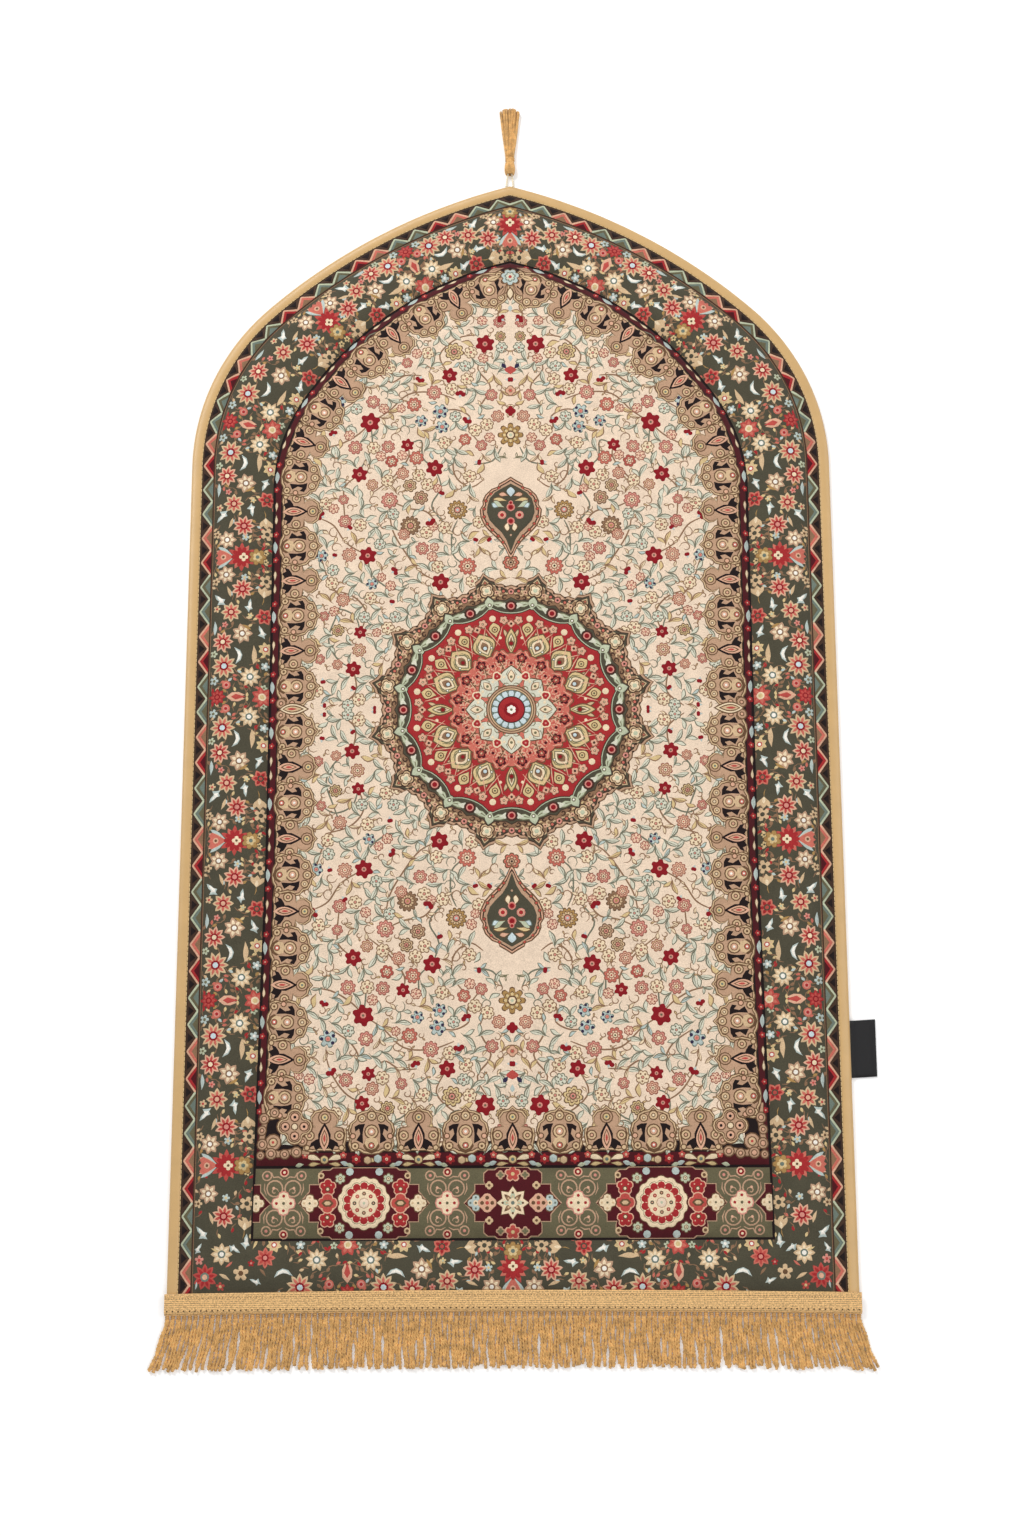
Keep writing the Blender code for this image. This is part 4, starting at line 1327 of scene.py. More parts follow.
def point_flower(b):
    """Pale flower under the field's point, between two leaning leaves; y runs down."""
    for half in halves(b):
        scroll_leaf(half.at(6.0, 2.0, -78), 20.0, 7.4, -2.0, "brown", "tan", "brown")
        scroll_leaf(half.at(8.0, 12.0, -60), 20.0, 8.4, 3.0, "brown", "sand", "brown")
        scroll_leaf(half.at(4.0, 24.0, -24), 18.0, 7.6, 3.0, "brown", "tan", "brown")
    for radius, inner, colour in ((11.5, 8.6, "brown"), (10.0, 7.4, "mist"), (6.4, 4.8, "slate"),
                                  (5.0, 3.6, "frost")):
        b.at(0, 15.0).fill(lobed(radius, inner, 7, 4), colour)
    b.at(0, 15.0).fill(disc(2.0, 7), "coral")
    b.at(0, 27.0).fill(leaf(17.0, 9.0, 0, 7, 0.0), "brown")
    b.at(0, 29.0).fill(leaf(12.5, 5.8, 0, 7, 0.0), "cream")


def corner_knot(b):
    """Four-lobed knot in the lower corners."""
    for radius, inner, colour in ((19.0, 9.5, "brown"), (17.6, 8.2, "sand"), (16.4, 7.0, "brown"),
                                  (15.2, 6.0, "tan")):
        b.fill(lobed(radius, inner, 4, 7), colour)
    for turn in (0, 90, 180, 270):
        lobe = b.at(0, 0, turn)
        discs(lobe, ((5.2, "brown"), (3.9, "peach"), (1.6, "black")), 9, 0, 9.6)
    b.fill(disc(4.0, 9), "brown")
    b.fill(disc(2.8, 8), "cream")


def corner_scrolls(b):
    """Curls from a lower corner out to the first palmettes; x and y run along the seams."""
    for width, colour in ((8.0, "brown"), (5.6, "tan")):
        b.line([(-7.0, 58.0), (-10.0, 40.0), (-7.0, 22.0), (-14.0, 13.0), (-24.0, 7.0),
                (-40.0, 10.0), (-56.0, 8.0)], width, colour)
    for size, colour in ((9.0, "brown"), (7.6, "tan"), (5.0, "brown"), (3.8, "sand"), (1.5, "coral")):
        b.fill(disc(size, 11, -19.0, 19.0), colour)
    for swapped in (False, True):
        for along, deep, radius in ((6.0, 6.0, 5.0), (17.0, 7.5, 6.4), (31.0, 7.0, 5.6),
                                    (43.0, 9.0, 6.2), (49.0, 20.0, 5.6)):
            x, y = (deep, along) if swapped else (along, deep)
            for size, colour in ((radius, "brown"), (radius - 1.3, "tan"), (radius - 3.0, "brown"),
                                 (radius - 4.0, "peach")):
                b.fill(disc(size, 10, -x, y), colour)


def frieze_places(track):
    """(distance along, kind) from the middle of the foot to the point."""
    places = [(0.048 * k, "wide" if k % 2 else "spear") for k in range(5)]
    middle = track.nearest(0.23, MEDALLION_Y)
    offsets = [0.025 + FRIEZE_PITCH * k for k in range(11)]
    places += [(middle - d, "spear" if k % 2 else "wide") for k, d in enumerate(offsets)]
    room = track.length - 0.024 - (middle + 0.025)
    count = 2 * round(0.5 * room / FRIEZE_PITCH)
    for k in range(count + 1):
        places.append((middle + 0.025 + room * k / count, "spear" if k % 2 else "wide"))
    return places


def paint_frieze(canvas):
    """Palmettes round the field's edge, over the dark strip along the seam."""
    track = frieze_track()
    foot_end = 0.22
    places = frieze_places(track)
    corner_along = track.nearest(0.235, FIELD_BOTTOM + 0.03)
    for along, kind in places:
        b = track.brush(canvas, along).at(0, 0, 0, 1.0 if along < foot_end else 0.84)
        if along > foot_end:
            if along > corner_along + 0.035:
                side_strip(b.at(0, -3.4), kind)
        elif kind == "spear":
            base_leaves(b)
        else:
            strip_roses(b)
    for along, kind in places:
        b = track.brush(canvas, along)
        b = b if along < foot_end else b.at(0, -6.6, 0, 0.97)
        if kind == "spear":
            spear_palmette(b)
        else:
            wide_palmette(b)
    corner = track.brush(canvas, corner_along)
    seam_x = INNER.half_width + float(flare(FIELD_BOTTOM))
    corner_scrolls(Brush(canvas, seam_x, FIELD_BOTTOM + 0.006))
    corner_knot(corner.at(0, 7, 45))
    side_knot(track.brush(canvas, track.nearest(0.23, MEDALLION_Y)))
    point_flower(Brush(canvas, 0.0, INNER.upper_point() - 0.006, 180.0))


# ---- cross panel ----------------------------------------------------------------
PANEL_MIDDLE = 0.5 * (PANEL_BOTTOM + FIELD_BOTTOM)


def stepped_cartouche(b, half, colour, rim):
    """Stepped outline with round notches; half is its reach along x."""
    outline = [(half, 0), (half - 6, 6), (half - 11, 12), (half - 11, 19), (half - 21, 19),
               (half - 20, 22), (half - 20, 30), (half - 24, 33.5), (half - 31, 33.5),
               (half - 34, 36)]
    for shrink, dye in ((0.0, rim), (0.9, colour)):
        quarter = [(x - shrink, y - shrink * 0.9) for x, y in outline]
        top = [(-x, y) for x, y in quarter[::-1]]
        right = quarter + top
        b.fill([(x, -y) for x, y in right[::-1][1:-1]] + right, dye)


def rose_wheel(b):
    """Large round rose of the side cartouches."""
    b.fill(lobed(27.5, 24.0, 14, 5), "brown")
    b.fill(lobed(26.6, 23.2, 14, 5), "cream")
    b.fill(lobed(22.4, 20.4, 14, 4), "sage")
    b.fill(lobed(21.8, 19.8, 14, 4), "cream")
    for k in range(14):
        b.at(0, 0, 360.0 * k / 14).fill(disc(4.0, 8, 0, 17.2), "red")
    b.fill(lobed(15.2, 13.8, 14, 3), "coral")
    b.fill(lobed(14.3, 12.8, 14, 3), "cream")
    for k in range(8):
        spoke = b.at(0, 0, 45.0 * k)
        spoke.fill(disc(2.1, 7, 0, 9.6), ("brown", "red", "olive", "coral")[k % 4])
        spoke.fill(disc(0.9, 5, 0, 9.6), "peach")
    b.fill(lobed(5.6, 4.4, 8, 3), "tan")
    b.fill(lobed(4.8, 3.8, 8, 3), "ivory")
    b.fill(disc(1.5, 7), "celadon")


def palmette_triplet(b):
    """Orange palmette between two red ones, beside a rose wheel."""
    for side in (1, -1):
        b.fill(lobed(9.4, 6.2, 5, 5), "peach")
        bud_place = b.at(0, side * 16.0)
        bud_place.fill(lobed(9.0, 7.0, 5, 4), "peach")
        bud_place.fill(lobed(7.8, 5.9, 5, 4), "red")
        bud_place.fill(disc(2.6, 8, 0, -2.0 * side), "brown")
        bud_place.fill(disc(1.5, 6, 0, -2.0 * side), "cream")
        for x in (-3.4, 3.4):
            bud_place.fill(disc(0.9, 5, x, 2.2 * side), "peach")
    b.fill(lobed(10.4, 8.0, 4, 6), "peach")
    b.fill(lobed(9.2, 6.9, 4, 6), "coral")
    b.fill(both_ends(6.2, 3.4), "brown")
    b.fill(both_ends(3.6, 1.9), "sand")


def both_ends(reach, half):
    """Almond along x."""
    return [(-reach, 0), (-0.5 * reach, -half), (0.5 * reach, -half), (reach, 0),
            (0.5 * reach, half), (-0.5 * reach, half)]


def diamond(b, reach, rim, fill, heart):
    b.fill(lobed(reach, 0.70 * reach, 4, 4), rim)
    b.fill(lobed(reach - 1.3, 0.70 * reach - 1.2, 4, 4), fill)
    for k in range(4):
        b.at(0, 0, 90.0 * k).fill(disc(0.14 * reach, 5, 0, 0.58 * reach), heart)
    b.fill(disc(0.30 * reach, 7), "cream")
    b.fill(disc(0.14 * reach, 5), "moss")


def panel_scrolls(b):
    """Fine scrolls round a small diamond, between two cartouches."""
    for up in (1, -1):
        for half in halves(b):
            ring = half.at(9.2, 14.7 * up)
            discs(ring, ((8.8, "tan"), (7.3, "moss")), 14)
            ring.at(-4.0, -3.0).line(spiral_path(8.0, 0.9), 1.3, "tan")
            ring.fill(disc(1.5, 6, 1.0, 0.5), "peach")
            corner = half.at(17.5, 27.5 * up)
            discs(corner, ((5.4, "tan"), (4.0, "moss"), (1.6, "pink")), 10)
            half.line([(1.5, 24.0 * up), (6.0, 26.5 * up), (11.0, 26.0 * up), (13.0, 31.0 * up)],
                      1.4, "tan")
            half.line([(17.5, 8.0 * up), (20.0, 14.0 * up), (19.5, 20.0 * up)], 1.4, "tan")
        bud_place = b.at(0, 31.0 * up)
        discs(bud_place, ((4.8, "peach"), (3.4, "ruby"), (1.5, "cream")), 9)
    diamond(b, 12.5, "pink", "cream", "red")


def side_cartouche(b):
    stepped_cartouche(b, 67.0, "wine", "tan")
    for half in halves(b):
        for up in (1, -1):
            bloom(half.at(24.5, 24.5 * up), 6.2, 6, "brown", "celadon", "cream", "sage", 0.75)
            half.fill(disc(4.0, 8, 15.0, 31.5 * up), "mist")
            half.fill(disc(3.4, 8, 44.0, 27.5 * up), "sand")
            half.fill(disc(1.8, 6, 44.0, 27.5 * up), "brown")
        palmette_triplet(half.at(37.0, 0))
        diamond(half.at(55.0, 0), 9.8, "brown", "cream", "sand")
    rose_wheel(b)


def middle_cartouche(b):
    stepped_cartouche(b, 50.0, "wine", "tan")
    for half in halves(b):
        diamond(half.at(37.5, 0), 9.5, "brown", "mist", "slate")
        half.at(26.0, 0).fill(lobed(9.6, 6.6, 4, 5), "peach")
        for k in range(4):
            half.at(26.0, 0, 90.0 * k).fill(disc(2.1, 7, 0, 5.2), "brown")
        half.at(26.0, 0).fill(disc(2.0, 7), "coral")
        for up in (1, -1):
            half.at(24.0, 17.5 * up).fill(lobed(4.2, 3.2, 4, 4), "sand")
            half.at(24.0, 17.5 * up).fill(disc(1.6, 6), "brown")
            half.at(12.5, 28.0 * up).fill(lobed(4.8, 3.4, 4, 4), "tan")
            half.at(12.5, 28.0 * up).fill(lobed(3.2, 2.0, 4, 4), "sage")
    for up in (1, -1):
        crown = b.at(0, 29.0 * up)
        crown.fill(lobed(8.6, 6.0, 5, 4), "peach")
        crown.fill(lobed(7.0, 4.6, 5, 4), "coral")
        crown.fill(disc(2.0, 7), "straw")
    b.fill(star(17.5, 12.0, 8), "brown")
    b.fill(star(16.3, 11.2, 8), "cream")
    for k in range(8):
        spoke = b.at(0, 0, 45.0 * k)
        spoke.fill(leaf(12.4, 5.0, 0, 5, -0.1), "taupe" if k % 2 else "celadon")
        spoke.fill(disc(1.3, 6, 0, 10.2), "brown")
        spoke.fill(disc(1.2, 5, 0, 6.2), "sand")
    b.fill(lobed(5.0, 4.0, 8, 3), "cream")
    b.fill(disc(2.0, 8), "slate")


def paint_panel(material):
    right = INNER.half_width + float(flare(FIELD_BOTTOM))
    foot = INNER.half_width + float(flare(PANEL_BOTTOM))
    side = line_points((foot, PANEL_BOTTOM), (right, FIELD_BOTTOM), OUTLINE_STEP)
    outline = side + line_points((right, FIELD_BOTTOM), (0.0, FIELD_BOTTOM), OUTLINE_STEP)[1:]
    outline += line_points((0.0, FIELD_BOTTOM), (0.0, PANEL_BOTTOM), OUTLINE_STEP)[1:]
    outline += line_points((0.0, PANEL_BOTTOM), (foot, PANEL_BOTTOM), OUTLINE_STEP)[1:-1]
    canvas = Canvas("face_panel", outline, "black")
    # The black ground stays bare in a band 1.2 mm wide along the panel's seams: painted shade of their
    # troughs.
    canvas.paint([(-0.01, PANEL_BOTTOM + 0.0012), (foot - 0.0012, PANEL_BOTTOM + 0.0012),
                  (right - 0.0012, FIELD_BOTTOM - 0.0012), (-0.01, FIELD_BOTTOM - 0.0012)], "moss", 0.0)
    side_cartouche(Brush(canvas, 0.151, PANEL_MIDDLE))
    half_tip = Brush(canvas, 0.312, PANEL_MIDDLE)
    stepped_cartouche(half_tip, 67.0, "wine", "tan")
    diamond(half_tip.at(-51.0, 0), 9.8, "brown", "cream", "sand")
    for x in (0.0665, 0.2325):
        panel_scrolls(Brush(canvas, x, PANEL_MIDDLE))
    middle_cartouche(Brush(canvas, 0.0, PANEL_MIDDLE))
    return canvas.build(material)


# ---- main border ----------------------------------------------------------------
BORDER_MIDDLE = 0.030


def border_track():
    """Up the right side from the middle of the foot to the point, in mid-border."""
    right = HALF_WIDTH - GUARD_SEAM - BORDER_MIDDLE
    foot = -0.598
    points = line_points((0.0, foot), (right - 0.03, foot), TRACK_STEP)
    points += rounded_corner(right, foot, 0.03)
    return Track(points + OUTER.right_half(GUARD_SEAM + BORDER_MIDDLE, foot + 0.034, TRACK_STEP))


def border_palmette(b, flip):
    """Red crown with a calyx on one side and a fan on the other; y runs to the field."""
    b = b.at(0, 0, 180.0 if flip else 0.0)
    fan = b.at(0, -8, 180)
    for turn, colour in ((-34, "mist"), (34, "mist"), (-22, "peach"), (22, "peach")):
        fan.at(0, 0, turn).fill(leaf(22, 5.0, 0, 6, 0.4), colour)
    fan.fill([(0, 0), (9, 16), (6, 20), (2.5, 18), (0, 21), (-2.5, 18), (-6, 20), (-9, 16)],
             "salmon")
    fan.fill(disc(3.2, 8, 0, 12), "peach")
    fan.fill(disc(1.6, 6, 0, 12), "brown")
    for k in range(11):
        b.at(0, 0, -150 + 30.0 * k).fill(leaf(16.5 - 1.5 * (k % 2), 5.2, 0, 5, 0.4),
                                         "salmon" if k % 2 else "coral")
    b.fill(lobed(11.5, 8.0, 10, 4), "red")
    calyx = b.at(0, 17)
    calyx.fill(lobed(10.0, 7.2, 7, 4), "brown")
    calyx.fill(lobed(9.1, 6.4, 7, 4), "ochre")
    calyx.fill(lobed(5.2, 3.6, 5, 4), "straw")
    calyx.fill(disc(2.2, 7), "slate")
    b.at(0, 2).fill(lobed(5.0, 3.0, 4, 4), "cream")
    b.at(0, 2).fill(disc(1.5, 6), "brown")


def blossom(b, radius, petals, petal_colour, tip, eye, heart):
    """Flower of separate pointed petals."""
    width = 4.4 * radius / petals
    for k in range(petals):
        petal = b.at(0, 0, 360.0 * k / petals)
        petal.fill(leaf(1.1 * radius, width, 0, 5, 0.15), tip)
        petal.fill(leaf(0.86 * radius, 0.56 * width, 0, 4, 0.2), petal_colour)
    b.fill(lobed(0.40 * radius, 0.33 * radius, 5, 3), heart)
    b.fill(disc(0.24 * radius, 7), eye)


def bird_leaf(b, size):
    """Pale curved leaf with a side wing."""
    for share, colour in ((1.0, "mist"), (0.62, "white")):
        b.fill([(x * size * share, y * size * share) for x, y in
                ((-0.50, -0.20), (-0.20, -0.26), (0.08, -0.18), (0.22, -0.40), (0.34, -0.16),
                 (0.52, 0.06), (0.30, 0.04), (0.18, 0.22), (0.02, 0.06), (-0.22, -0.02))], colour)


def crescent(b, size):
    for share, colour in ((1.0, "mist"), (0.72, "white")):
        b.fill([(x * size * share, y * size * share) for x, y in
                ((-0.5, -0.24), (-0.3, 0.08), (0.0, 0.2), (0.3, 0.08), (0.5, -0.24), (0.3, -0.12),
                 (0.0, -0.04), (-0.3, -0.12))], colour)


def tulip(b, size, colour, inner):
    b.fill(leaf(size, 0.62 * size, 0, 6, -0.1), colour)
    for half in halves(b):
        half.at(0.05 * size, 0.1 * size, -32).fill(leaf(0.9 * size, 0.36 * size, 0, 5, 0.2), colour)
    b.fill(leaf(0.6 * size, 0.26 * size, 0, 4, 0.0), inner)
    b.line([(0, 0), (0.02 * size, -0.3 * size), (-0.06 * size, -0.6 * size)], 1.0, "ochre")


def small_flower(b, radius, colour, heart):
    b.fill(lobed(radius, 0.5 * radius, 5, 4), colour)
    b.fill(disc(0.34 * radius, 7), heart)


#    kind       s    t   size  colours, and the turn or the number of petals
BORDER_MOTIFS = [
    ("small", 5, 55, 3.4, ("straw", "olive"), 0),
    ("small", 27, 4, 4.6, ("sand", "brown"), 0),
    ("blossom", 20, 15, 9.6, ("cream", "tan", "white", "taupe"), 7),
    ("small", 23, 34, 4.2, ("mist", "straw"), 0),
    ("blossom", 36, 32, 11.0, ("coral", "peach", "pink", "ruby"), 9),
    ("leaf", 33, 16, 13.0, ("sand",), -60),
    ("tulip", 46, 54, 13.0, ("sand", "cream"), 85),
    ("small", 27, 56, 7.4, ("sand", "olive"), 0),
    ("bird", 47, 10, 17.0, (), 30),
    ("bird", 55, 41, 15.0, (), -20),
    ("blossom", 62, 21, 10.4, ("salmon", "sand", "peach", "ruby"), 8),
    ("blossom", 67, 55, 8.8, ("red", "salmon", "coral", "olive"), 6),
    ("small", 66, 41, 3.4, ("straw", "celadon"), 0),
    ("small", 58, 6, 4.2, ("sand", "coral"), 0),
    ("leaf", 71, 4, 16.0, ("mist",), -80),
    ("small", 76, 15, 3.6, ("pink", "coral"), 0),
    ("blossom", 86, 33, 10.4, ("cream", "tan", "white", "taupe"), 7),
    ("leaf", 76, 32, 12.0, ("ochre",), -20),
    ("bird", 84, 54, 15.0, (), 10),
    ("blossom", 95, 13, 10.8, ("coral", "peach", "cream", "ruby"), 9),
    ("crescent", 110, 30, 19.0, (), 5),
    ("leaf", 99, 45, 21.0, ("sand",), -80),
    ("blossom", 103, 57, 7.4, ("sand", "straw", "white", "coral"), 7),
    ("blossom", 122, 15, 12.8, ("salmon", "sand", "sky", "ruby"), 10),
    ("blossom", 134, 42, 10.4, ("cream", "sand", "white", "slate"), 9),
    ("small", 108, 4, 4.2, ("celadon", "sage"), 0),
    ("small", 122, 57, 4.8, ("mist", "white"), 0),
    ("small", 138, 5, 5.0, ("mist", "sage"), 0),
    ("eye", 143, 18, 4.8, (), 0),
    ("small", 146, 56, 3.8, ("celadon", "sage"), 0),
]
BORDER_HALF = 156.0          # millimetres of the drawn unit
BORDER_DEPTH = 63.0          # and the width of border it was drawn for


def border_motif(b, kind, size, colours, turn):
    if kind == "small":
        small_flower(b, size, *colours)
    elif kind == "blossom":
        blossom(b, size, turn, *colours)
    elif kind == "tulip":
        tulip(b.at(0, 0, turn), size, *colours)
    elif kind == "bird":
        bird_leaf(b.at(0, 0, turn), size)
    elif kind == "crescent":
        crescent(b.at(0, 0, turn), size)
    elif kind == "leaf":
        b.at(0, 0, turn).fill(leaf(size, 0.27 * size, 0.16 * size, 6, 0.2), colours[0])
    else:
        for share, colour in ((1.0, "salmon"), (0.68, "pink"), (0.36, "red")):
            b.fill(disc(share * size, 9), colour)


def border_sprigs(place):
    """Thin stems with a leaf or bud, in the ground between the tabled motifs."""
    draw = random.Random(23)
    taken = [(s, t, 0.62 * size if kind in ("bird", "crescent", "leaf", "tulip") else size)
             for kind, s, t, size, _, _ in BORDER_MOTIFS]
    taken += [(0, 33, 20), (156, 54, 11), (156, 6, 9), (156, 28, 9)]
    crowd = Crowd(taken)
    for _ in range(1500):
        s = draw.uniform(4.0, 153.0)
        t = draw.uniform(2.0, 62.0)
        if crowd.meets(s, t, 1.6):
            continue
        crowd.add(s, t, 2.8)
        b = place(s, t, draw.uniform(0.0, 360.0))
        if in_corner(b):
            continue
        colour = draw.choice(("ochre", "sand", "mist", "salmon", "straw", "taupe", "red"))
        b.line([(0.0, -4.4), (1.2, 0.0), (0.0, 4.4)], 1.2, "taupe")
        b.at(0, 0, 25).fill(leaf(5.6, 3.0, 0.8, 4, 0.2), colour)


def border_width(track, along):
    """Millimetres from the guard seam to the border's inner seam."""
    back = track.spot(along - 0.004)
    ahead = track.spot(along + 0.004)
    size = math.dist(back, ahead)
    inward = ((back[1] - ahead[1]) / size, (ahead[0] - back[0]) / size)
    x, y = track.spot(along)
    reach = 0.0
    while reach < 0.070:
        at_x, at_y = x + inward[0] * reach, y + inward[1] * reach
        if INNER.depth(at_x - float(flare(at_y)), at_y) > 0.0 and at_y > PANEL_BOTTOM:
            break
        reach += 0.001
    return 1000.0 * (BORDER_MIDDLE + reach)


def interval_middle(b):
    """Tulip, rose and star on the mirror line between two palmettes."""
    blossom(b.at(0, 54), 10.6, 7, "salmon", "coral", "straw", "cream")
    blossom(b.at(0, 6), 8.8, 8, "coral", "red", "coral", "ruby")
    fan = b.at(0, 16)
    fan.fill([(0, 0), (4.8, 6), (5.2, 13), (2.2, 20), (0, 15), (-2.2, 20), (-5.2, 13),
              (-4.8, 6)], "peach")
    fan.fill([(0, 5), (3.2, 10), (0, 21), (-3.2, 10)], "coral")


def border_stations(track):
    """Palmette places and the middle between each pair, along the track."""
    ends = [0.0, track.nearest(0.2905, -0.4908), track.nearest(0.295, -0.1567),
            track.nearest(0.295, 0.1555), track.nearest(0.1975, 0.4255), track.length]
    middles = [0.167] + [0.5 * (a + b) for a, b in zip(ends[1:], ends[2:])]
    return ends, middles


def paint_border_half(canvas, track, start, middle):
    """One unit from the palmette at start to the mirror line at middle."""
    forward = 1 if middle > start else -1
    stretch = abs(middle - start) / BORDER_HALF

    def place(s, t, turn=0.0):
        along = start + forward * s * stretch
        depth = t * border_width(track, along) / BORDER_DEPTH
        b = track.brush(canvas, along, 0.001 * depth - BORDER_MIDDLE, forward < 0)
        return b.at(0, 0, turn)

    border_sprigs(place)
    for kind, s, t, size, colours, turn in BORDER_MOTIFS:
        b = place(s, t)
        if not in_corner(b):
            border_motif(b, kind, size, colours, turn)


#    x and y in metres, size in millimetres, turn or number of petals, kind, colours
CORNER_MOTIFS = [
    (0.3106, -0.6026, 12.0, 9, "blossom", ("red", "coral", "peach", "slate")),
    (0.2940, -0.5801, 10.2, 8, "blossom", ("cream", "sand", "white", "slate")),
    (0.2742, -0.5988, 8.0, 0, "small", ("sand", "brown")),
    (0.2806, -0.5740, 13.0, 20, "bird", ()),
    (0.2850, -0.6060, 13.0, -50, "leaf", ("sand",)),
    (0.2600, -0.6080, 12.0, 190, "bird", ()),
    (0.2500, -0.5838, 9.6, 8, "blossom", ("coral", "salmon", "pink", "ruby")),
    (0.3191, -0.5740, 12.0, -70, "bird", ()),
    (0.3170, -0.5860, 5.0, 0, "small", ("pink", "coral")),
    (0.2630, -0.5750, 11.0, 30, "leaf", ("straw",)),
    (0.2950, -0.6120, 4.6, 0, "small", ("coral", "straw")),
    (0.2900, -0.5930, 9.0, 60, "leaf", ("salmon",)),
    (0.3050, -0.5740, 9.0, 120, "leaf", ("straw",)),
    (0.2490, -0.6020, 10.0, -30, "leaf", ("taupe",)),
    (0.2640, -0.5890, 3.6, 0, "small", ("red", "pink")),
    (0.3205, -0.6150, 8.0, 20, "leaf", ("mist",)),
]


CORNER_SIDE = 0.244          # the corner's own flowers stand beyond this x
CORNER_TOP = -0.568          # and below this y


def in_corner(b):
    """True where the lower corner's own flowers stand."""
    return b.x > CORNER_SIDE and b.y < CORNER_TOP


def border_corner(canvas):
    """Flowers of the lower corner, between the ends of both runs."""
    for x, y, size, turn, kind, colours in CORNER_MOTIFS:
        border_motif(Brush(canvas, x, y), kind, size, colours, turn)


def paint_border(material):
    foot = heading_line(HALF_WIDTH) - FACE_FOOT
    side = OUTER.right_half(GUARD_SEAM, foot, OUTLINE_STEP)
    across = [(x, heading_line(x) - FACE_FOOT) for x, _ in
              line_points((0.0, 0.0), (side[0][0], 0.0), OUTLINE_STEP)[1:-1]]
    outline = axis_closed([(0.0, heading_line(0.0) - FACE_FOOT)] + across + side)[:-1]
    canvas = Canvas("face_border", outline, "olive", BOTH_SIDES,
                    inner_outline(0.0, PANEL_BOTTOM))
    track = border_track()
    ends, middles = border_stations(track)
    for start, middle, end in zip(ends, middles, ends[1:]):
        paint_border_half(canvas, track, start, middle)
        paint_border_half(canvas, track, end, middle)
        depth = border_width(track, middle) / BORDER_DEPTH
        interval_middle(track.brush(canvas, middle, -BORDER_MIDDLE).at(0, 3.0 * depth))
    for along in ends[1:-1]:
        border_palmette(track.brush(canvas, along, 0.002), False)
    border_corner(canvas)
    border_palmette(Brush(canvas, 0.0, -0.5946), False)
    border_palmette(Brush(canvas, 0.0, 0.5465, 180.0), True)
    # Black band 1.3 mm wide along the seam round the field and panel: painted shade of the trough.
    canvas.paint(inner_outline(-0.0013, PANEL_BOTTOM - 0.0013), "black", 0.0)
    return canvas.build(material)


# ---- guard ----------------------------------------------------------------------
#    outline    fill     inner mark
GUARD_TRIANGLES = (("celadon", "slate", "moss"), ("celadon", "moss", "slate"),
                   ("peach", "red", "wine"), ("peach", "salmon", "taupe"))


SEAM_STITCH = 0.006          # one light stitch along the guard's seam in each of these


def guard_track():
    return Track(OUTER.right_half(GUARD_SEAM, heading_line(HALF_WIDTH) - FACE_FOOT, TRACK_STEP))


def paint_guard(material):
    """Dark ground with a zigzag of coloured triangles that stand on the seam."""
    foot = heading_line(HALF_WIDTH) - FACE_FOOT
    outer = OUTER.right_half(BINDING_WIDTH + 0.0002, foot, OUTLINE_STEP)
    inner = OUTER.right_half(GUARD_SEAM, foot, OUTLINE_STEP)
    axis = line_points(outer[-1], inner[-1], OUTLINE_STEP)[1:-1]
    canvas = Canvas("face_guard", outer + axis + inner[::-1], "earth")
    track = guard_track()
    middle = track.nearest(0.3235, MEDALLION_Y)
    spring = track.nearest(0.3235, OUTER.spring)
    places = [middle + 0.0278 * k for k in range(-22, 11)]
    last = places[-1]
    room = track.length - 0.011 - last
    count = round(room / 0.0245)
    places += [last + room * (k + 1) / count for k in range(count)]
    for k, along in enumerate(places):
        pitch = 27.8 if along < spring else 1000.0 * room / count
        b = track.brush(canvas, along)
        half = 0.5 * pitch
        rim, fill, mark = GUARD_TRIANGLES[(k + 22) % 4]
        b.fill([(-half, -2.2), (-half, -3.8), (-0.8, -13.2), (0.8, -13.2), (half, -3.8),
                (half, -2.2)], rim)
        b.fill([(-half + 1.4, -2.2), (0, -11.4), (half - 1.4, -2.2)], fill)
        b.fill([(-half + 5.4, -2.1), (0, -7.6), (half - 5.4, -2.1)], mark)
        for side in (1, -1):
            b.fill([(side * half - 5.2, -12.6), (side * half, -6.4), (side * half + 5.2, -12.6)],
                   "black")
    for along in [SEAM_STITCH * k for k in range(int(track.length / SEAM_STITCH))]:
        b = track.brush(canvas, along)
        b.fill([(-3.1, 0.9), (-3.1, -0.6), (3.1, -0.6), (3.1, 0.9)], "taupe", 0.2)
    return canvas.build(material)


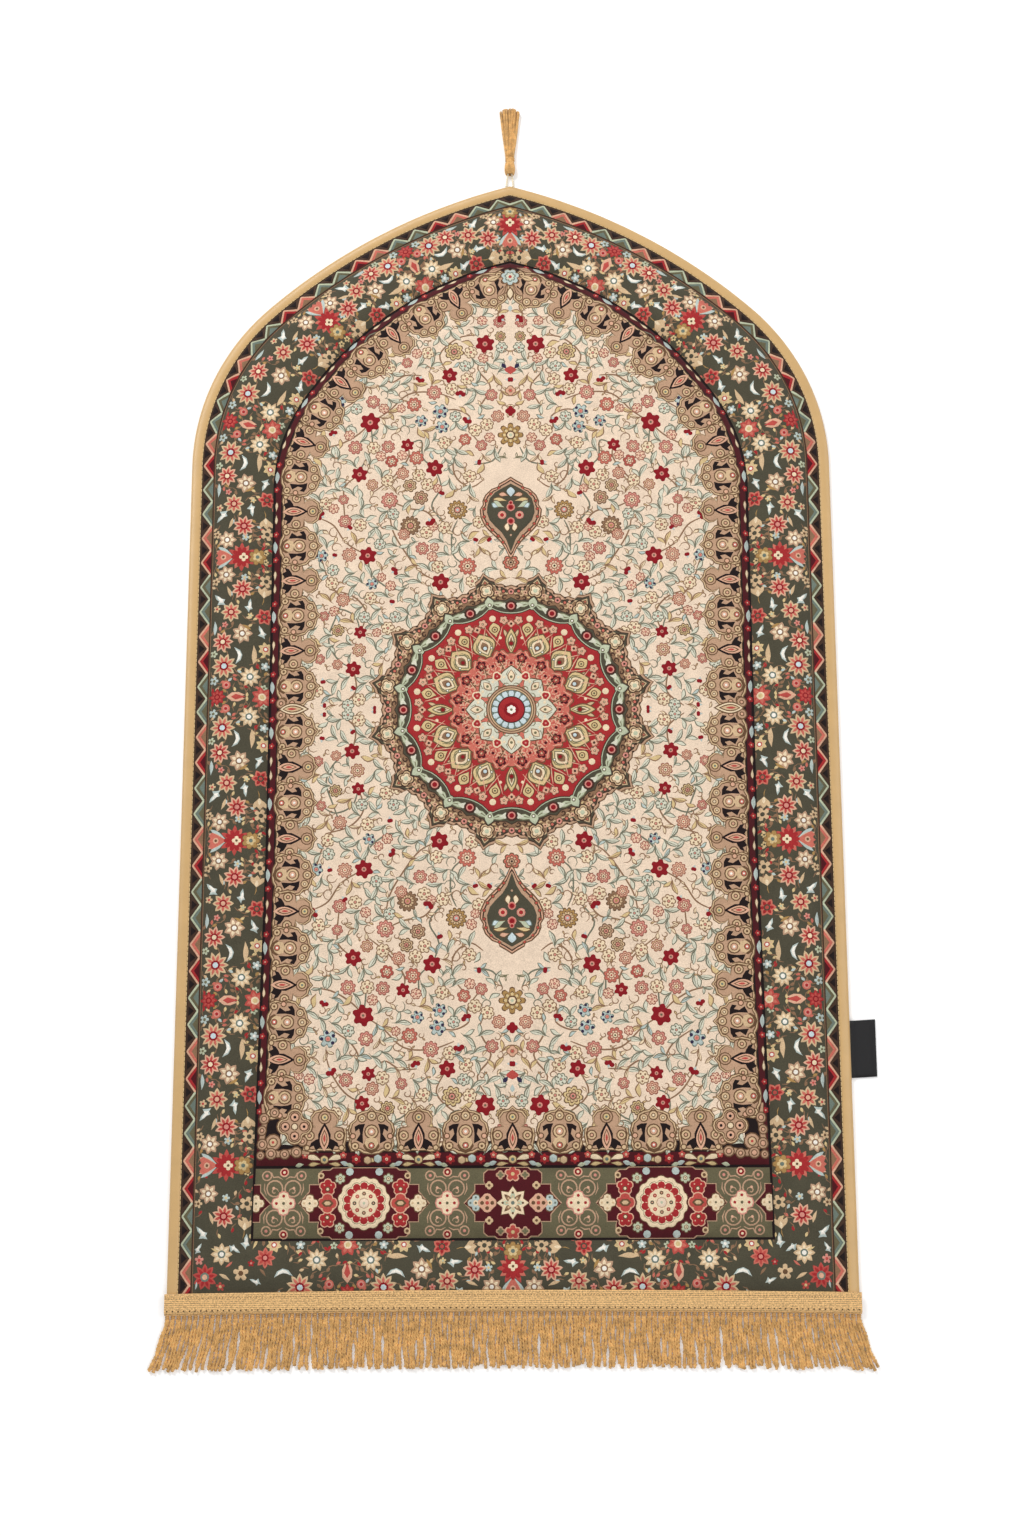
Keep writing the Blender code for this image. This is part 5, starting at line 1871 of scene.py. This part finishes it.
# ---- materials ------------------------------------------------------------------
class Nodes:
    """Short hand for building one material's nodes."""

    def __init__(self, name):
        self.material = bpy.data.materials.new(name)
        self.material.use_nodes = True
        self.tree = self.material.node_tree
        self.shader = self.tree.nodes["Principled BSDF"]

    def add(self, kind, **sockets):
        node = self.tree.nodes.new(kind)
        for key, value in sockets.items():
            node.inputs[key].default_value = value
        return node

    def link(self, source, target):
        self.tree.links.new(source, target)

    def noise(self, scale, detail):
        coordinates = self.tree.nodes.new("ShaderNodeTexCoord")
        node = self.add("ShaderNodeTexNoise", Scale=scale, Detail=detail, Roughness=0.55)
        self.link(coordinates.outputs["Object"], node.inputs["Vector"])
        return node.outputs["Fac"]

    def wave(self, scale, direction, distortion=0.0):
        coordinates = self.tree.nodes.new("ShaderNodeTexCoord")
        node = self.add("ShaderNodeTexWave", Scale=scale, Distortion=distortion)
        node.bands_direction = direction
        self.link(coordinates.outputs["Object"], node.inputs["Vector"])
        return node.outputs["Fac"]

    def math(self, operation, first, second):
        node = self.tree.nodes.new("ShaderNodeMath")
        node.operation = operation
        for socket, value in zip(node.inputs, (first, second)):
            if isinstance(value, (int, float)):
                socket.default_value = value
            else:
                self.link(value, socket)
        return node.outputs["Value"]

    def shade(self, colour, factor, low, high, span=(0.0, 1.0)):
        """Multiplies a colour by a factor spread between low and high over its span."""
        spread = self.tree.nodes.new("ShaderNodeMapRange")
        spread.inputs["From Min"].default_value = span[0]
        spread.inputs["From Max"].default_value = span[1]
        spread.inputs["To Min"].default_value = low
        spread.inputs["To Max"].default_value = high
        self.link(factor, spread.inputs["Value"])
        scale = self.tree.nodes.new("ShaderNodeVectorMath")
        scale.operation = "SCALE"
        if isinstance(colour, tuple):
            scale.inputs[0].default_value = colour
        else:
            self.link(colour, scale.inputs[0])
        self.link(spread.outputs["Result"], scale.inputs["Scale"])
        self.link(scale.outputs["Vector"], self.shader.inputs["Base Color"])

    def bump(self, height, distance, strength=1.0):
        node = self.add("ShaderNodeBump", Distance=distance, Strength=strength)
        self.link(height, node.inputs["Height"])
        self.link(node.outputs["Normal"], self.shader.inputs["Normal"])

    def finish(self, roughness, sheen=0.0, sheen_roughness=0.5, specular=0.3):
        self.shader.inputs["Roughness"].default_value = roughness
        self.shader.inputs["Sheen Weight"].default_value = sheen
        self.shader.inputs["Sheen Roughness"].default_value = sheen_roughness
        self.shader.inputs["Specular IOR Level"].default_value = specular
        return self.material


def pile_material():
    """Dense printed pile: the dyes of the mesh, with the painted shade along its seams among them, and
    a fine uneven nap.
    """
    nodes = Nodes("patterned_pile")
    dye = nodes.tree.nodes.new("ShaderNodeAttribute")
    dye.attribute_name = "dye"
    nap = nodes.noise(900.0, 2.0)
    patch = nodes.noise(60.0, 3.0)
    grain = nodes.math("ADD", nodes.math("MULTIPLY", nap, 0.7), nodes.math("MULTIPLY", patch, 0.3))
    nodes.shade(dye.outputs["Color"], grain, 0.80, 1.16, (0.35, 0.65))
    nodes.bump(nap, 0.0007, 0.5)
    return nodes.finish(0.85, 0.18, 0.45, 0.2)


def cloth_material(name, colour, scale=700.0, roughness=0.8, sheen=0.1):
    """Plain woven cloth."""
    nodes = Nodes(name)
    weave = nodes.math("MULTIPLY", nodes.wave(scale, "X"), nodes.wave(scale, "Y"))
    nodes.shade(linear(*colour), weave, 0.88, 1.08)
    nodes.bump(weave, 0.0003, 0.5)
    return nodes.finish(roughness, sheen)


def satin_material():
    """Gold satin with fine diagonal ribs."""
    nodes = Nodes("gold_satin_cloth")
    rib = nodes.wave(420.0, "DIAGONAL", 0.6)
    soft = nodes.noise(55.0, 2.0)
    nodes.shade(linear(206, 168, 112), nodes.math("MULTIPLY", rib, soft), 0.88, 1.2)
    nodes.bump(rib, 0.0002, 0.5)
    return nodes.finish(0.36, 0.25, 0.3, 0.6)


def yarn_material(name, colour, low=0.72, high=1.2):
    """Twisted yarn; its tone shifts along and between the yarns, a little unless low and high spread it
    wide; a wide swing stands partly for painted shade and painted highlight.
    """
    nodes = Nodes(name)
    fibre = nodes.noise(1400.0, 2.0)
    patch = nodes.noise(180.0, 2.0)
    tone = nodes.math("ADD", nodes.math("MULTIPLY", fibre, 0.5), nodes.math("MULTIPLY", patch, 0.5))
    nodes.shade(linear(*colour), tone, low, high, (0.3, 0.7))
    nodes.bump(fibre, 0.0004, 0.6)
    return nodes.finish(0.55, 0.2, 0.4, 0.4)


def braid_material():
    """Knitted gold tape: bright and dark loops a millimetre or so across, in a tone that swings widely
    at random and stands partly for painted highlight on the loops and painted shade between them.
    """
    nodes = Nodes("gold_braid")
    loops = nodes.noise(620.0, 1.0)
    rows = nodes.wave(150.0, "Y")
    tone = nodes.math("ADD", nodes.math("MULTIPLY", loops, 0.8), nodes.math("MULTIPLY", rows, 0.2))
    # Tone from 0.55 to 1.45: random loop tone, partly painted highlight and painted shade of the knit.
    nodes.shade(linear(214, 172, 114), tone, 0.55, 1.45, (0.32, 0.66))
    nodes.bump(loops, 0.0009, 0.8)
    return nodes.finish(0.5, 0.2, 0.4, 0.5)


# ---- meshes ---------------------------------------------------------------------
def add_piece(name, verts, faces, material):
    mesh = bpy.data.meshes.new(name)
    mesh.from_pydata(verts, [], faces)
    mesh.materials.append(material)
    mesh.polygons.foreach_set("use_smooth", [True] * len(mesh.polygons))
    made = bpy.data.objects.new(name, mesh)
    bpy.context.scene.collection.objects.link(made)
    return made


class Builder:
    """Collects lofts for one joined mesh."""

    def __init__(self):
        self.verts = []
        self.faces = []

    def loft(self, rings):
        """Closed rings of points, joined one to the next, with both ends capped."""
        first = len(self.verts)
        count = len(rings[0])
        for ring in rings:
            self.verts += ring
        for r in range(len(rings) - 1):
            base = first + r * count
            for i in range(count):
                j = (i + 1) % count
                self.faces.append((base + i, base + j, base + count + j, base + count + i))
        self.faces.append(tuple(first + i for i in reversed(range(count))))
        last = first + (len(rings) - 1) * count
        self.faces.append(tuple(last + i for i in range(count)))

    def tube(self, path, radius, sides):
        """A round yarn along a path of (x, y, z) points."""
        rings = []
        for i, point in enumerate(path):
            side, up = across_path(path, i)
            ring = []
            for k in range(sides):
                angle = math.tau * k / sides
                place = side * (radius * math.cos(angle)) + up * (radius * math.sin(angle))
                ring.append(tuple(Vector(point) + place))
            rings.append(ring)
        self.loft(rings)

    def piece(self, name, material):
        return add_piece(name, self.verts, self.faces, material)


def across_path(path, i):
    """Unit vectors to the side of a path and up from it, at one of its points."""
    ahead = Vector(path[min(i + 1, len(path) - 1)])
    behind = Vector(path[max(i - 1, 0)])
    along = (ahead - behind).normalized()
    side = along.cross(Vector((0.0, 0.0, 1.0))).normalized()
    return side, side.cross(along)


def two_ply(builder, path, radius, twist, sides, phase=0.0):
    """Two yarns wound round each other along a path."""
    reached = 0.0
    strands = ([], [])
    for i, point in enumerate(path):
        if i:
            reached += math.dist(point, path[i - 1])
        side, up = across_path(path, i)
        angle = phase + math.tau * reached / twist
        for k, strand in enumerate(strands):
            lean = angle + math.pi * k
            place = side * (0.5 * radius * math.cos(lean)) + up * (0.5 * radius * math.sin(lean))
            strand.append(tuple(Vector(point) + place))
    for strand in strands:
        builder.tube(strand, 0.60 * radius, sides)


# ---- padded body ----------------------------------------------------------------
BODY_INSET = 0.0024
BODY_UNDER = 0.0013
SINK = 0.0014                # the body's top stays this far under the padded surface
BODY_SPREAD = 1.7            # its points are this much sparser than the faces'


def body_outline(inset, drop):
    """Closed line of the rug cloth; drop is how far it ends below the tape's upper edge."""
    bottom = heading_line(HALF_WIDTH - inset) - drop
    side = OUTER.right_half(inset, bottom, OUTLINE_STEP)
    foot = [(x, heading_line(x) - drop) for x, _ in
            line_points((0.0, 0.0), (side[0][0], 0.0), OUTLINE_STEP)[:-1]]
    return mirrored(foot + side)[:-1]


def build_body(material):
    """Padded rug under its patterned faces, with a flat underside."""
    outline = body_outline(BODY_INSET, FOOT_EDGE)
    seams = (body_outline(GUARD_SEAM, 0.0), inner_outline(0.0, PANEL_BOTTOM),
             inner_outline(0.0, FIELD_BOTTOM), body_outline(RIM_WIDTH, 0.0))
    points = list(outline)
    edges = []
    for line in seams:
        first = len(points)
        points += line
        edges += [(first + i, first + (i + 1) % len(line)) for i in range(len(line))]
    points += support_points(outline, BODY_SPREAD)
    ground = [list(range(len(outline)))]
    verts, _, tris, sources, _, owners = delaunay_2d_cdt(points, edges, ground, 0, 1e-7)
    flat = np.array([(v[0], v[1]) for v in verts])
    height = pad_height(flat[:, 0], flat[:, 1]) - SINK
    places = np.column_stack([flat, height]).tolist()
    faces = [tuple(tri) for tri, owner in zip(tris, owners) if 0 in owner]
    rim = {source: vertex for vertex, found in enumerate(sources) for source in found
           if source < len(outline)}
    ring = [rim[i] for i in range(len(outline))]
    for inset, drop, z in ((BODY_INSET, FOOT_EDGE, BODY_UNDER), (0.0117, 0.0140, BODY_UNDER),
                           (0.0123, 0.0136, 0.0001)):
        first = len(places)
        lower = matched(body_outline(inset, drop), len(ring))
        places += [(x, y, z) for x, y in lower]
        below = [first + i for i in range(len(ring))]
        for i in range(len(ring)):
            j = (i + 1) % len(ring)
            faces.append((ring[i], below[i], below[j], ring[j]))
        ring = below
    faces.append(tuple(reversed(ring)))
    return add_piece("rug_body", places, faces, material)


def matched(outline, count):
    """The same closed line with the given number of points."""
    closed = outline + [outline[0]]
    line = Track(closed)
    return [line.spot(line.length * i / count) for i in range(count)]


# ---- edge binding ---------------------------------------------------------------
BINDING_STEP = 0.008


def build_binding(material):
    """Satin tape folded over the rim, a little uneven along its length."""
    bottom = heading_line(HALF_WIDTH) - FOOT_EDGE
    mid = 0.5 * BINDING_HEIGHT
    section = [(0.0110, mid + 0.0016), (0.0111, mid + 0.0026), (0.0103, mid + 0.0030),
               (0.0080, mid + 0.00325), (0.0055, mid + 0.0033), (0.0030, mid + 0.0029),
               (0.0011, mid + 0.0021), (0.0002, mid + 0.0010), (0.0000, mid),
               (0.0002, mid - 0.0012), (0.0011, 0.0006), (0.0030, 0.0001), (0.0110, 0.0001),
               (0.0110, 0.0010), (0.0020, 0.0011), (0.0012, mid), (0.0020, mid + 0.0014)]
    path = [mirrored(OUTER.right_half(inset, bottom, BINDING_STEP)) for inset, _ in section]
    count = min(len(line) for line in path)
    path = [open_matched(line, count) for line in path]
    rings = []
    for i in range(count):
        swell = 1.0 + 0.03 * math.sin(0.9 * i) * math.sin(0.23 * i + 1.0)
        rings.append([(*line[i], height * swell if height > mid else height)
                      for line, (_, height) in zip(path, section)])
    builder = Builder()
    builder.loft(rings)
    return builder.piece("binding", material)


def binding_length():
    """Along the outer edge from one end of the tape to the other."""
    bottom = heading_line(HALF_WIDTH) - FOOT_EDGE
    return round(Track(mirrored(OUTER.right_half(0.0, bottom, BINDING_STEP))).length, 3)


def open_matched(points, count):
    line = Track(points)
    return [line.spot(line.length * i / (count - 1)) for i in range(count)]


def build_edge_stitch(material):
    """Thin bright line of thread along the binding's inner edge."""
    bottom = heading_line(HALF_WIDTH) - 0.002
    line = Track(mirrored(OUTER.right_half(BINDING_WIDTH + 0.0004, bottom, 0.004)))
    builder = Builder()
    step = 0.0052
    for k in range(int(line.length / step)):
        ends = (k * step, k * step + 0.5 * step, k * step + 0.86 * step)
        builder.tube([(*line.spot(s), 0.0061 - 0.0003 * abs(i - 1)) for i, s in enumerate(ends)],
                     0.00042, 4)
    return builder.piece("binding_stitch", material)


# ---- fringe ---------------------------------------------------------------------
KNOTS = 123
TAPE_HALF = 0.3515
TAPE_WIDTH = 0.0216
KNOT_PITCH = 2.0 * TAPE_HALF / KNOTS
FRINGE_TIPS = -0.6903        # on the axis
TIP_UNEVEN = 0.0024
YARN_RADIUS = 0.00205
YARN_TWIST = 0.0085


def tape_height(drop):
    """Upper side of the tape at a drop below its upper edge."""
    over = 0.0078 + 0.0006 * math.exp(-((drop - 0.0014) / 0.0010) ** 2)
    bend = max(0.0, drop - 0.0168)
    return over - 170.0 * bend * bend


def build_tape(material):
    """Heading tape with its braid raised in rows; the holes along its lower rows are not cut in it but
    laid over it as flat patches of painted shadow.
    """
    drops = [0.0, 0.0002] + [0.0006 + 0.00105 * i for i in range(21)]
    steps = 410
    verts = []
    faces = []
    for i in range(steps + 1):
        x = TAPE_HALF * (2.0 * i / steps - 1.0)
        for j, drop in enumerate(drops):
            height = tape_height(drop)
            if 1 < j < len(drops) - 1:
                height += 0.00032 * (1 if (i + j) % 2 else -1) * (0.4 if drop < 0.003 else 1.0)
            if j == 0:
                height = 0.0064
            verts.append((x, heading_line(x) - min(drop, TAPE_WIDTH), height))
    rows = len(drops)
    for i in range(steps):
        for j in range(rows - 1):
            a = i * rows + j
            faces.append((a, a + 1, a + rows + 1, a + rows))
    return add_piece("heading_tape", verts, faces, material)


def build_tape_hole_shadows(material):
    """Flat dark patches over the gaps between the braid's loops, above the knots: painted shadow of the
    tape's holes.
    """
    builder = Builder()
    for drop, count, size in ((0.0048, 2 * KNOTS, 0.00045), (0.0172, KNOTS, 0.0009)):
        step = 2.0 * TAPE_HALF / count
        for i in range(count):
            x = -TAPE_HALF + step * (i + 0.5)
            y = heading_line(x) - drop
            z = tape_height(drop) + 0.00034
            ring = [(x + size * math.cos(a), y + 0.8 * size * math.sin(a), z)
                    for a in (0.0, 1.05, 2.09, 3.14, 4.19, 5.24)]
            builder.verts += ring
            first = len(builder.verts) - 6
            builder.faces.append(tuple(range(first, first + 6)))
    return builder.piece("tape_hole_shadows", material)


def strand_path(x, y, side, splay, draw):
    """One wavy yarn on the floor, from its knot to its tip."""
    spread = 0.25 * KNOT_PITCH
    tip_y = FRINGE_TIPS - FOOT_BOW * (x / HALF_WIDTH) ** 2 + draw.uniform(-1.0, 1.0) * TIP_UNEVEN
    root_y = y - 0.0040
    phase = draw.uniform(0.0, math.tau)
    bend = draw.uniform(-1.0, 1.0) * 0.0022
    points = []
    steps = 16
    for k in range(steps + 1):
        share = k / steps
        along = root_y + (tip_y - root_y) * share
        part = min(1.0, 0.55 + share * 2.0)
        across = x + side * spread * part * 0.95 + splay * share ** 1.3 + bend * share
        across += 0.00075 * math.sin(phase + 9.0 * share) * part
        high = 0.00228 + 0.0016 * max(0.0, 1.0 - share * 5.0)
        points.append((across, along, high))
    return points


def build_fringe(material):
    """A knot and two twisted yarns every few millimetres."""
    draw = random.Random(7)
    builder = Builder()
    for i in range(KNOTS):
        x = KNOT_PITCH * (i - 0.5 * (KNOTS - 1))
        y = heading_line(x) - TAPE_WIDTH
        splay = math.copysign(0.016 * abs(x / HALF_WIDTH) ** 4, x)
        for k in range(3):
            low = y + 0.0012 - 0.0021 * k
            builder.tube([(x - 0.0020, low - 0.0006, 0.0028 - 0.0004 * k),
                          (x, low, 0.0040 - 0.0006 * k),
                          (x + 0.0020, low - 0.0006, 0.0028 - 0.0004 * k)], 0.0011, 5)
        for side in (-1, 1):
            path = strand_path(x, y, side, splay, draw)
            two_ply(builder, path, YARN_RADIUS, YARN_TWIST, 4, draw.uniform(0.0, 6.0))
    return builder.piece("fringe_yarns", material)


# ---- loop and tassel ------------------------------------------------------------
LOOP_END = 0.6180            # the eye's outer end
LOOP_RADIUS = 0.00125        # of the solid's cord
EYE_RADIUS = 0.0023


def loop_route():
    """Middle of the cord: up the right leg, round the eye and down the left leg."""
    leg = [(0.0038, 0.5990, 0.00132), (0.0036, 0.6035, 0.00132), (0.0029, 0.6085, 0.0022),
           (0.0023, 0.6130, 0.0038)]
    centre = LOOP_END - LOOP_RADIUS - EYE_RADIUS
    for degrees in (0, 30, 60, 90):
        angle = math.radians(degrees)
        leg.append((EYE_RADIUS * math.cos(angle), centre + EYE_RADIUS * math.sin(angle), 0.0038))
    return leg + [(-x, y, z) for x, y, z in reversed(leg[:-1])]


def loop_path():
    return [tuple(p) for p in smooth3(loop_route(), 5)]


def build_loop(material):
    builder = Builder()
    two_ply(builder, loop_path(), 0.00120, 0.0060, 6)
    return builder.piece("cord_loop", material)


def smooth3(points, steps):
    """A Catmull-Rom curve through points in space."""
    flat = smooth([(x, y) for x, y, _ in points], steps)
    high = smooth([(z, 0.0) for _, _, z in points], steps)
    return [(x, y, z) for (x, y), (z, _) in zip(flat, high)]


#    y, half width and half height of the tassel's head
TASSEL_HEAD = (
    (0.6124, 0.0046, 0.0036), (0.6145, 0.0056, 0.0042), (0.6180, 0.0062, 0.0043),
    (0.6230, 0.0057, 0.0041), (0.6275, 0.0047, 0.0034), (0.6310, 0.0040, 0.0027),
    (0.6340, 0.0052, 0.0026),
)
HEAD_YARNS = 22
NECK_TURNS = 4
NECK_START = 0.6296
NECK_PITCH = 0.0011
NECK_HALF_WIDTH = 0.0050
NECK_HALF_HEIGHT = 0.0027
NECK_MIDDLE = 0.0034
SKIRT_YARNS = 96
SKIRT_START = 0.6322
SKIRT_LENGTH = 0.0635
SKIRT_ROOT = 0.0043          # half width under the neck
SKIRT_TIP = 0.0112           # and at the tips


def tassel_head(builder):
    """Yarns folded over the cord."""
    head_start = TASSEL_HEAD[0][0]
    for k in range(HEAD_YARNS):
        angle = math.tau * (k + 0.5) / HEAD_YARNS
        lean = 0.06 * math.sin(2.3 * k)
        path = []
        for y, half, high in TASSEL_HEAD:
            place = angle + lean * (y - head_start) / 0.02
            path.append((half * 0.86 * math.cos(place), y,
                         0.0004 + high * (1.0 + 0.86 * math.sin(place))))
        builder.tube(smooth3(path, 3), 0.00085, 5)


def tassel_neck(builder):
    """Turns of yarn that bind the head."""
    for k in range(NECK_TURNS):
        y = NECK_START + NECK_PITCH * k
        ring = []
        for i in range(17):
            angle = math.tau * i / 16
            ring.append((NECK_HALF_WIDTH * math.cos(angle), y,
                         NECK_MIDDLE + NECK_HALF_HEIGHT * math.sin(angle)))
        builder.tube(ring, 0.00062, 5)


def tassel_skirt(builder):
    """Loose yarns that spread towards their tips."""
    draw = random.Random(5)
    for _ in range(SKIRT_YARNS):
        across = draw.uniform(-1.0, 1.0)
        lift = draw.uniform(0.0, 1.0)
        length = SKIRT_LENGTH - 0.0045 * across ** 2 - 0.003 * draw.random() ** 2
        bend = draw.uniform(-0.0010, 0.0010)
        path = []
        for i in range(9):
            share = i / 8
            width = SKIRT_ROOT + (SKIRT_TIP - SKIRT_ROOT) * share ** 1.1
            x = across * width + bend * math.sin(math.pi * share)
            z = 0.0008 + lift * (0.0040 - 0.0010 * share)
            path.append((x, SKIRT_START + length * share, z))
        builder.tube(path, 0.00056, 4)


def build_tassel(material):
    builder = Builder()
    tassel_head(builder)
    tassel_neck(builder)
    tassel_skirt(builder)
    return builder.piece("tassel_yarns", material)


# ---- side label -----------------------------------------------------------------
LABEL_TOP = -0.3457
LABEL_LENGTH = 0.0590
LABEL_SKEW = 0.0016          # its outer end lies this much further up
LABEL_WIDTH = 0.0265


def build_label(material):
    """Bare woven tab that drops from beside the binding to the floor."""
    verts = []
    faces = []
    rows = ((0.0003, 0.0034), (0.0016, 0.0033), (0.0033, 0.0024), (0.0050, 0.0015),
            (0.0068, 0.0013), (0.0120, 0.0013), (0.0190, 0.0014), (0.0268, 0.0013))
    count = 15
    for reach, height in rows:
        for j in range(count):
            share = j / (count - 1)
            y = LABEL_TOP + LABEL_SKEW * reach / LABEL_WIDTH - LABEL_LENGTH * share
            verts.append((HALF_WIDTH + reach, y, height + 0.0001 * math.sin(9.0 * share)))
    for i in range(len(rows) - 1):
        for j in range(count - 1):
            a = i * count + j
            faces.append((a, a + 1, a + count + 1, a + count))
    made = add_piece("label", verts, faces, material)
    thick = made.modifiers.new("thick", "SOLIDIFY")
    thick.thickness = 0.0010
    thick.offset = -1.0
    return made


# ---- the rug and its picture ----------------------------------------------------
def build_floor():
    nodes = Nodes("paper_floor")
    nodes.shader.inputs["Base Color"].default_value = (0.93, 0.93, 0.93, 1.0)
    nodes.shader.inputs["Emission Color"].default_value = (1.0, 1.0, 1.0, 1.0)
    nodes.shader.inputs["Emission Strength"].default_value = 0.16
    material = nodes.finish(0.9, 0.0, 0.5, 0.0)
    floor = add_piece("floor", [(-6, -6, -0.0004), (6, -6, -0.0004), (6, 6, -0.0004),
                                (-6, 6, -0.0004)], [(0, 1, 2, 3)], material)


def build_lights():
    #         name, place, size, watts; each is aimed at the origin
    lamps = (("key", (-1.5, 2.0, 2.3), 1.4, 66.0),
             ("fill", (2.0, 0.4, 2.2), 2.0, 26.0),
             ("foot", (0.3, -2.4, 1.8), 2.0, 15.0))
    for name, place, size, watts in lamps:
        data = bpy.data.lights.new(name, "AREA")
        data.shape = "DISK"
        data.size = size
        data.energy = watts
        lamp = bpy.data.objects.new(name, data)
        lamp.location = place
        lamp.rotation_euler = (Vector((0.0, 0.0, 0.0)) - Vector(place)).to_track_quat(
            "-Z", "Y").to_euler()
        bpy.context.scene.collection.objects.link(lamp)
    world = bpy.data.worlds.new("studio")
    world.use_nodes = True
    world.node_tree.nodes["Background"].inputs["Color"].default_value = (1.0, 1.0, 1.0, 1.0)
    world.node_tree.nodes["Background"].inputs["Strength"].default_value = 0.46
    bpy.context.scene.world = world


def build_camera():
    data = bpy.data.cameras.new("camera")
    data.lens = 50.0
    data.sensor_width = 36.0
    camera = bpy.data.objects.new("camera", data)
    place = Vector((0.0005, -0.5639, 2.2219))
    target = Vector((0.0005, -0.0754, 0.0))
    camera.location = place
    camera.rotation_euler = (target - place).to_track_quat("-Z", "Y").to_euler()
    camera.rotation_euler.rotate_axis("Z", math.radians(-0.17))
    bpy.context.scene.collection.objects.link(camera)
    bpy.context.scene.camera = camera


def place_piece(piece, nodes):
    """Rides on the rug and stands for its solids."""
    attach(piece, "root")
    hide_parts(*nodes)


PILE = pile_material()
SATIN = satin_material()
# The gold yarn of the fringe and tassel swings widely in tone at random; the swing stands partly for
# painted shade between the strands and painted highlight on them.
GOLD_YARN = yarn_material("gold_twisted_yarn", (214, 166, 100), 0.42, 1.52)
BRAID = braid_material()
CREAM_YARN = yarn_material("cream_twisted_yarn", (238, 226, 200))
THREAD = yarn_material("bright_thread", (236, 204, 146))
BACKING = cloth_material("plain_backing", (222, 206, 176))
RIBBON = cloth_material("black_ribbon_cloth", (26, 25, 27), 900.0, 0.55)
# Dark brown of the patches in the tape's holes: painted shadow.
HOLE_SHADOW = cloth_material("shadow_holes", (70, 50, 28), 500.0, 0.9, 0.0)

place_piece(build_body(BACKING), ["rug_pad"])
for paint_face in (paint_both_fields, paint_medallion, paint_panel, paint_border, paint_guard):
    for face in paint_face(PILE):
        place_piece(face, ["rug_pad"])
binding = build_binding(SATIN)
place_piece(binding, ["edge_binding"])
binding_length()
place_piece(build_edge_stitch(THREAD), ["edge_binding"])
tape = build_tape(BRAID)
place_piece(tape, ["fringe"])
place_piece(build_tape_hole_shadows(HOLE_SHADOW), ["fringe"])
place_piece(build_fringe(GOLD_YARN), ["fringe"])
place_piece(build_tassel(GOLD_YARN), ["tassel"])
loop = build_loop(CREAM_YARN)
place_piece(loop, ["tassel_loop"])
label = build_label(RIBBON)
place_piece(label, ["side_label"])

build_floor()
build_lights()
build_camera()
bpy.context.scene.view_settings.view_transform = "Standard"
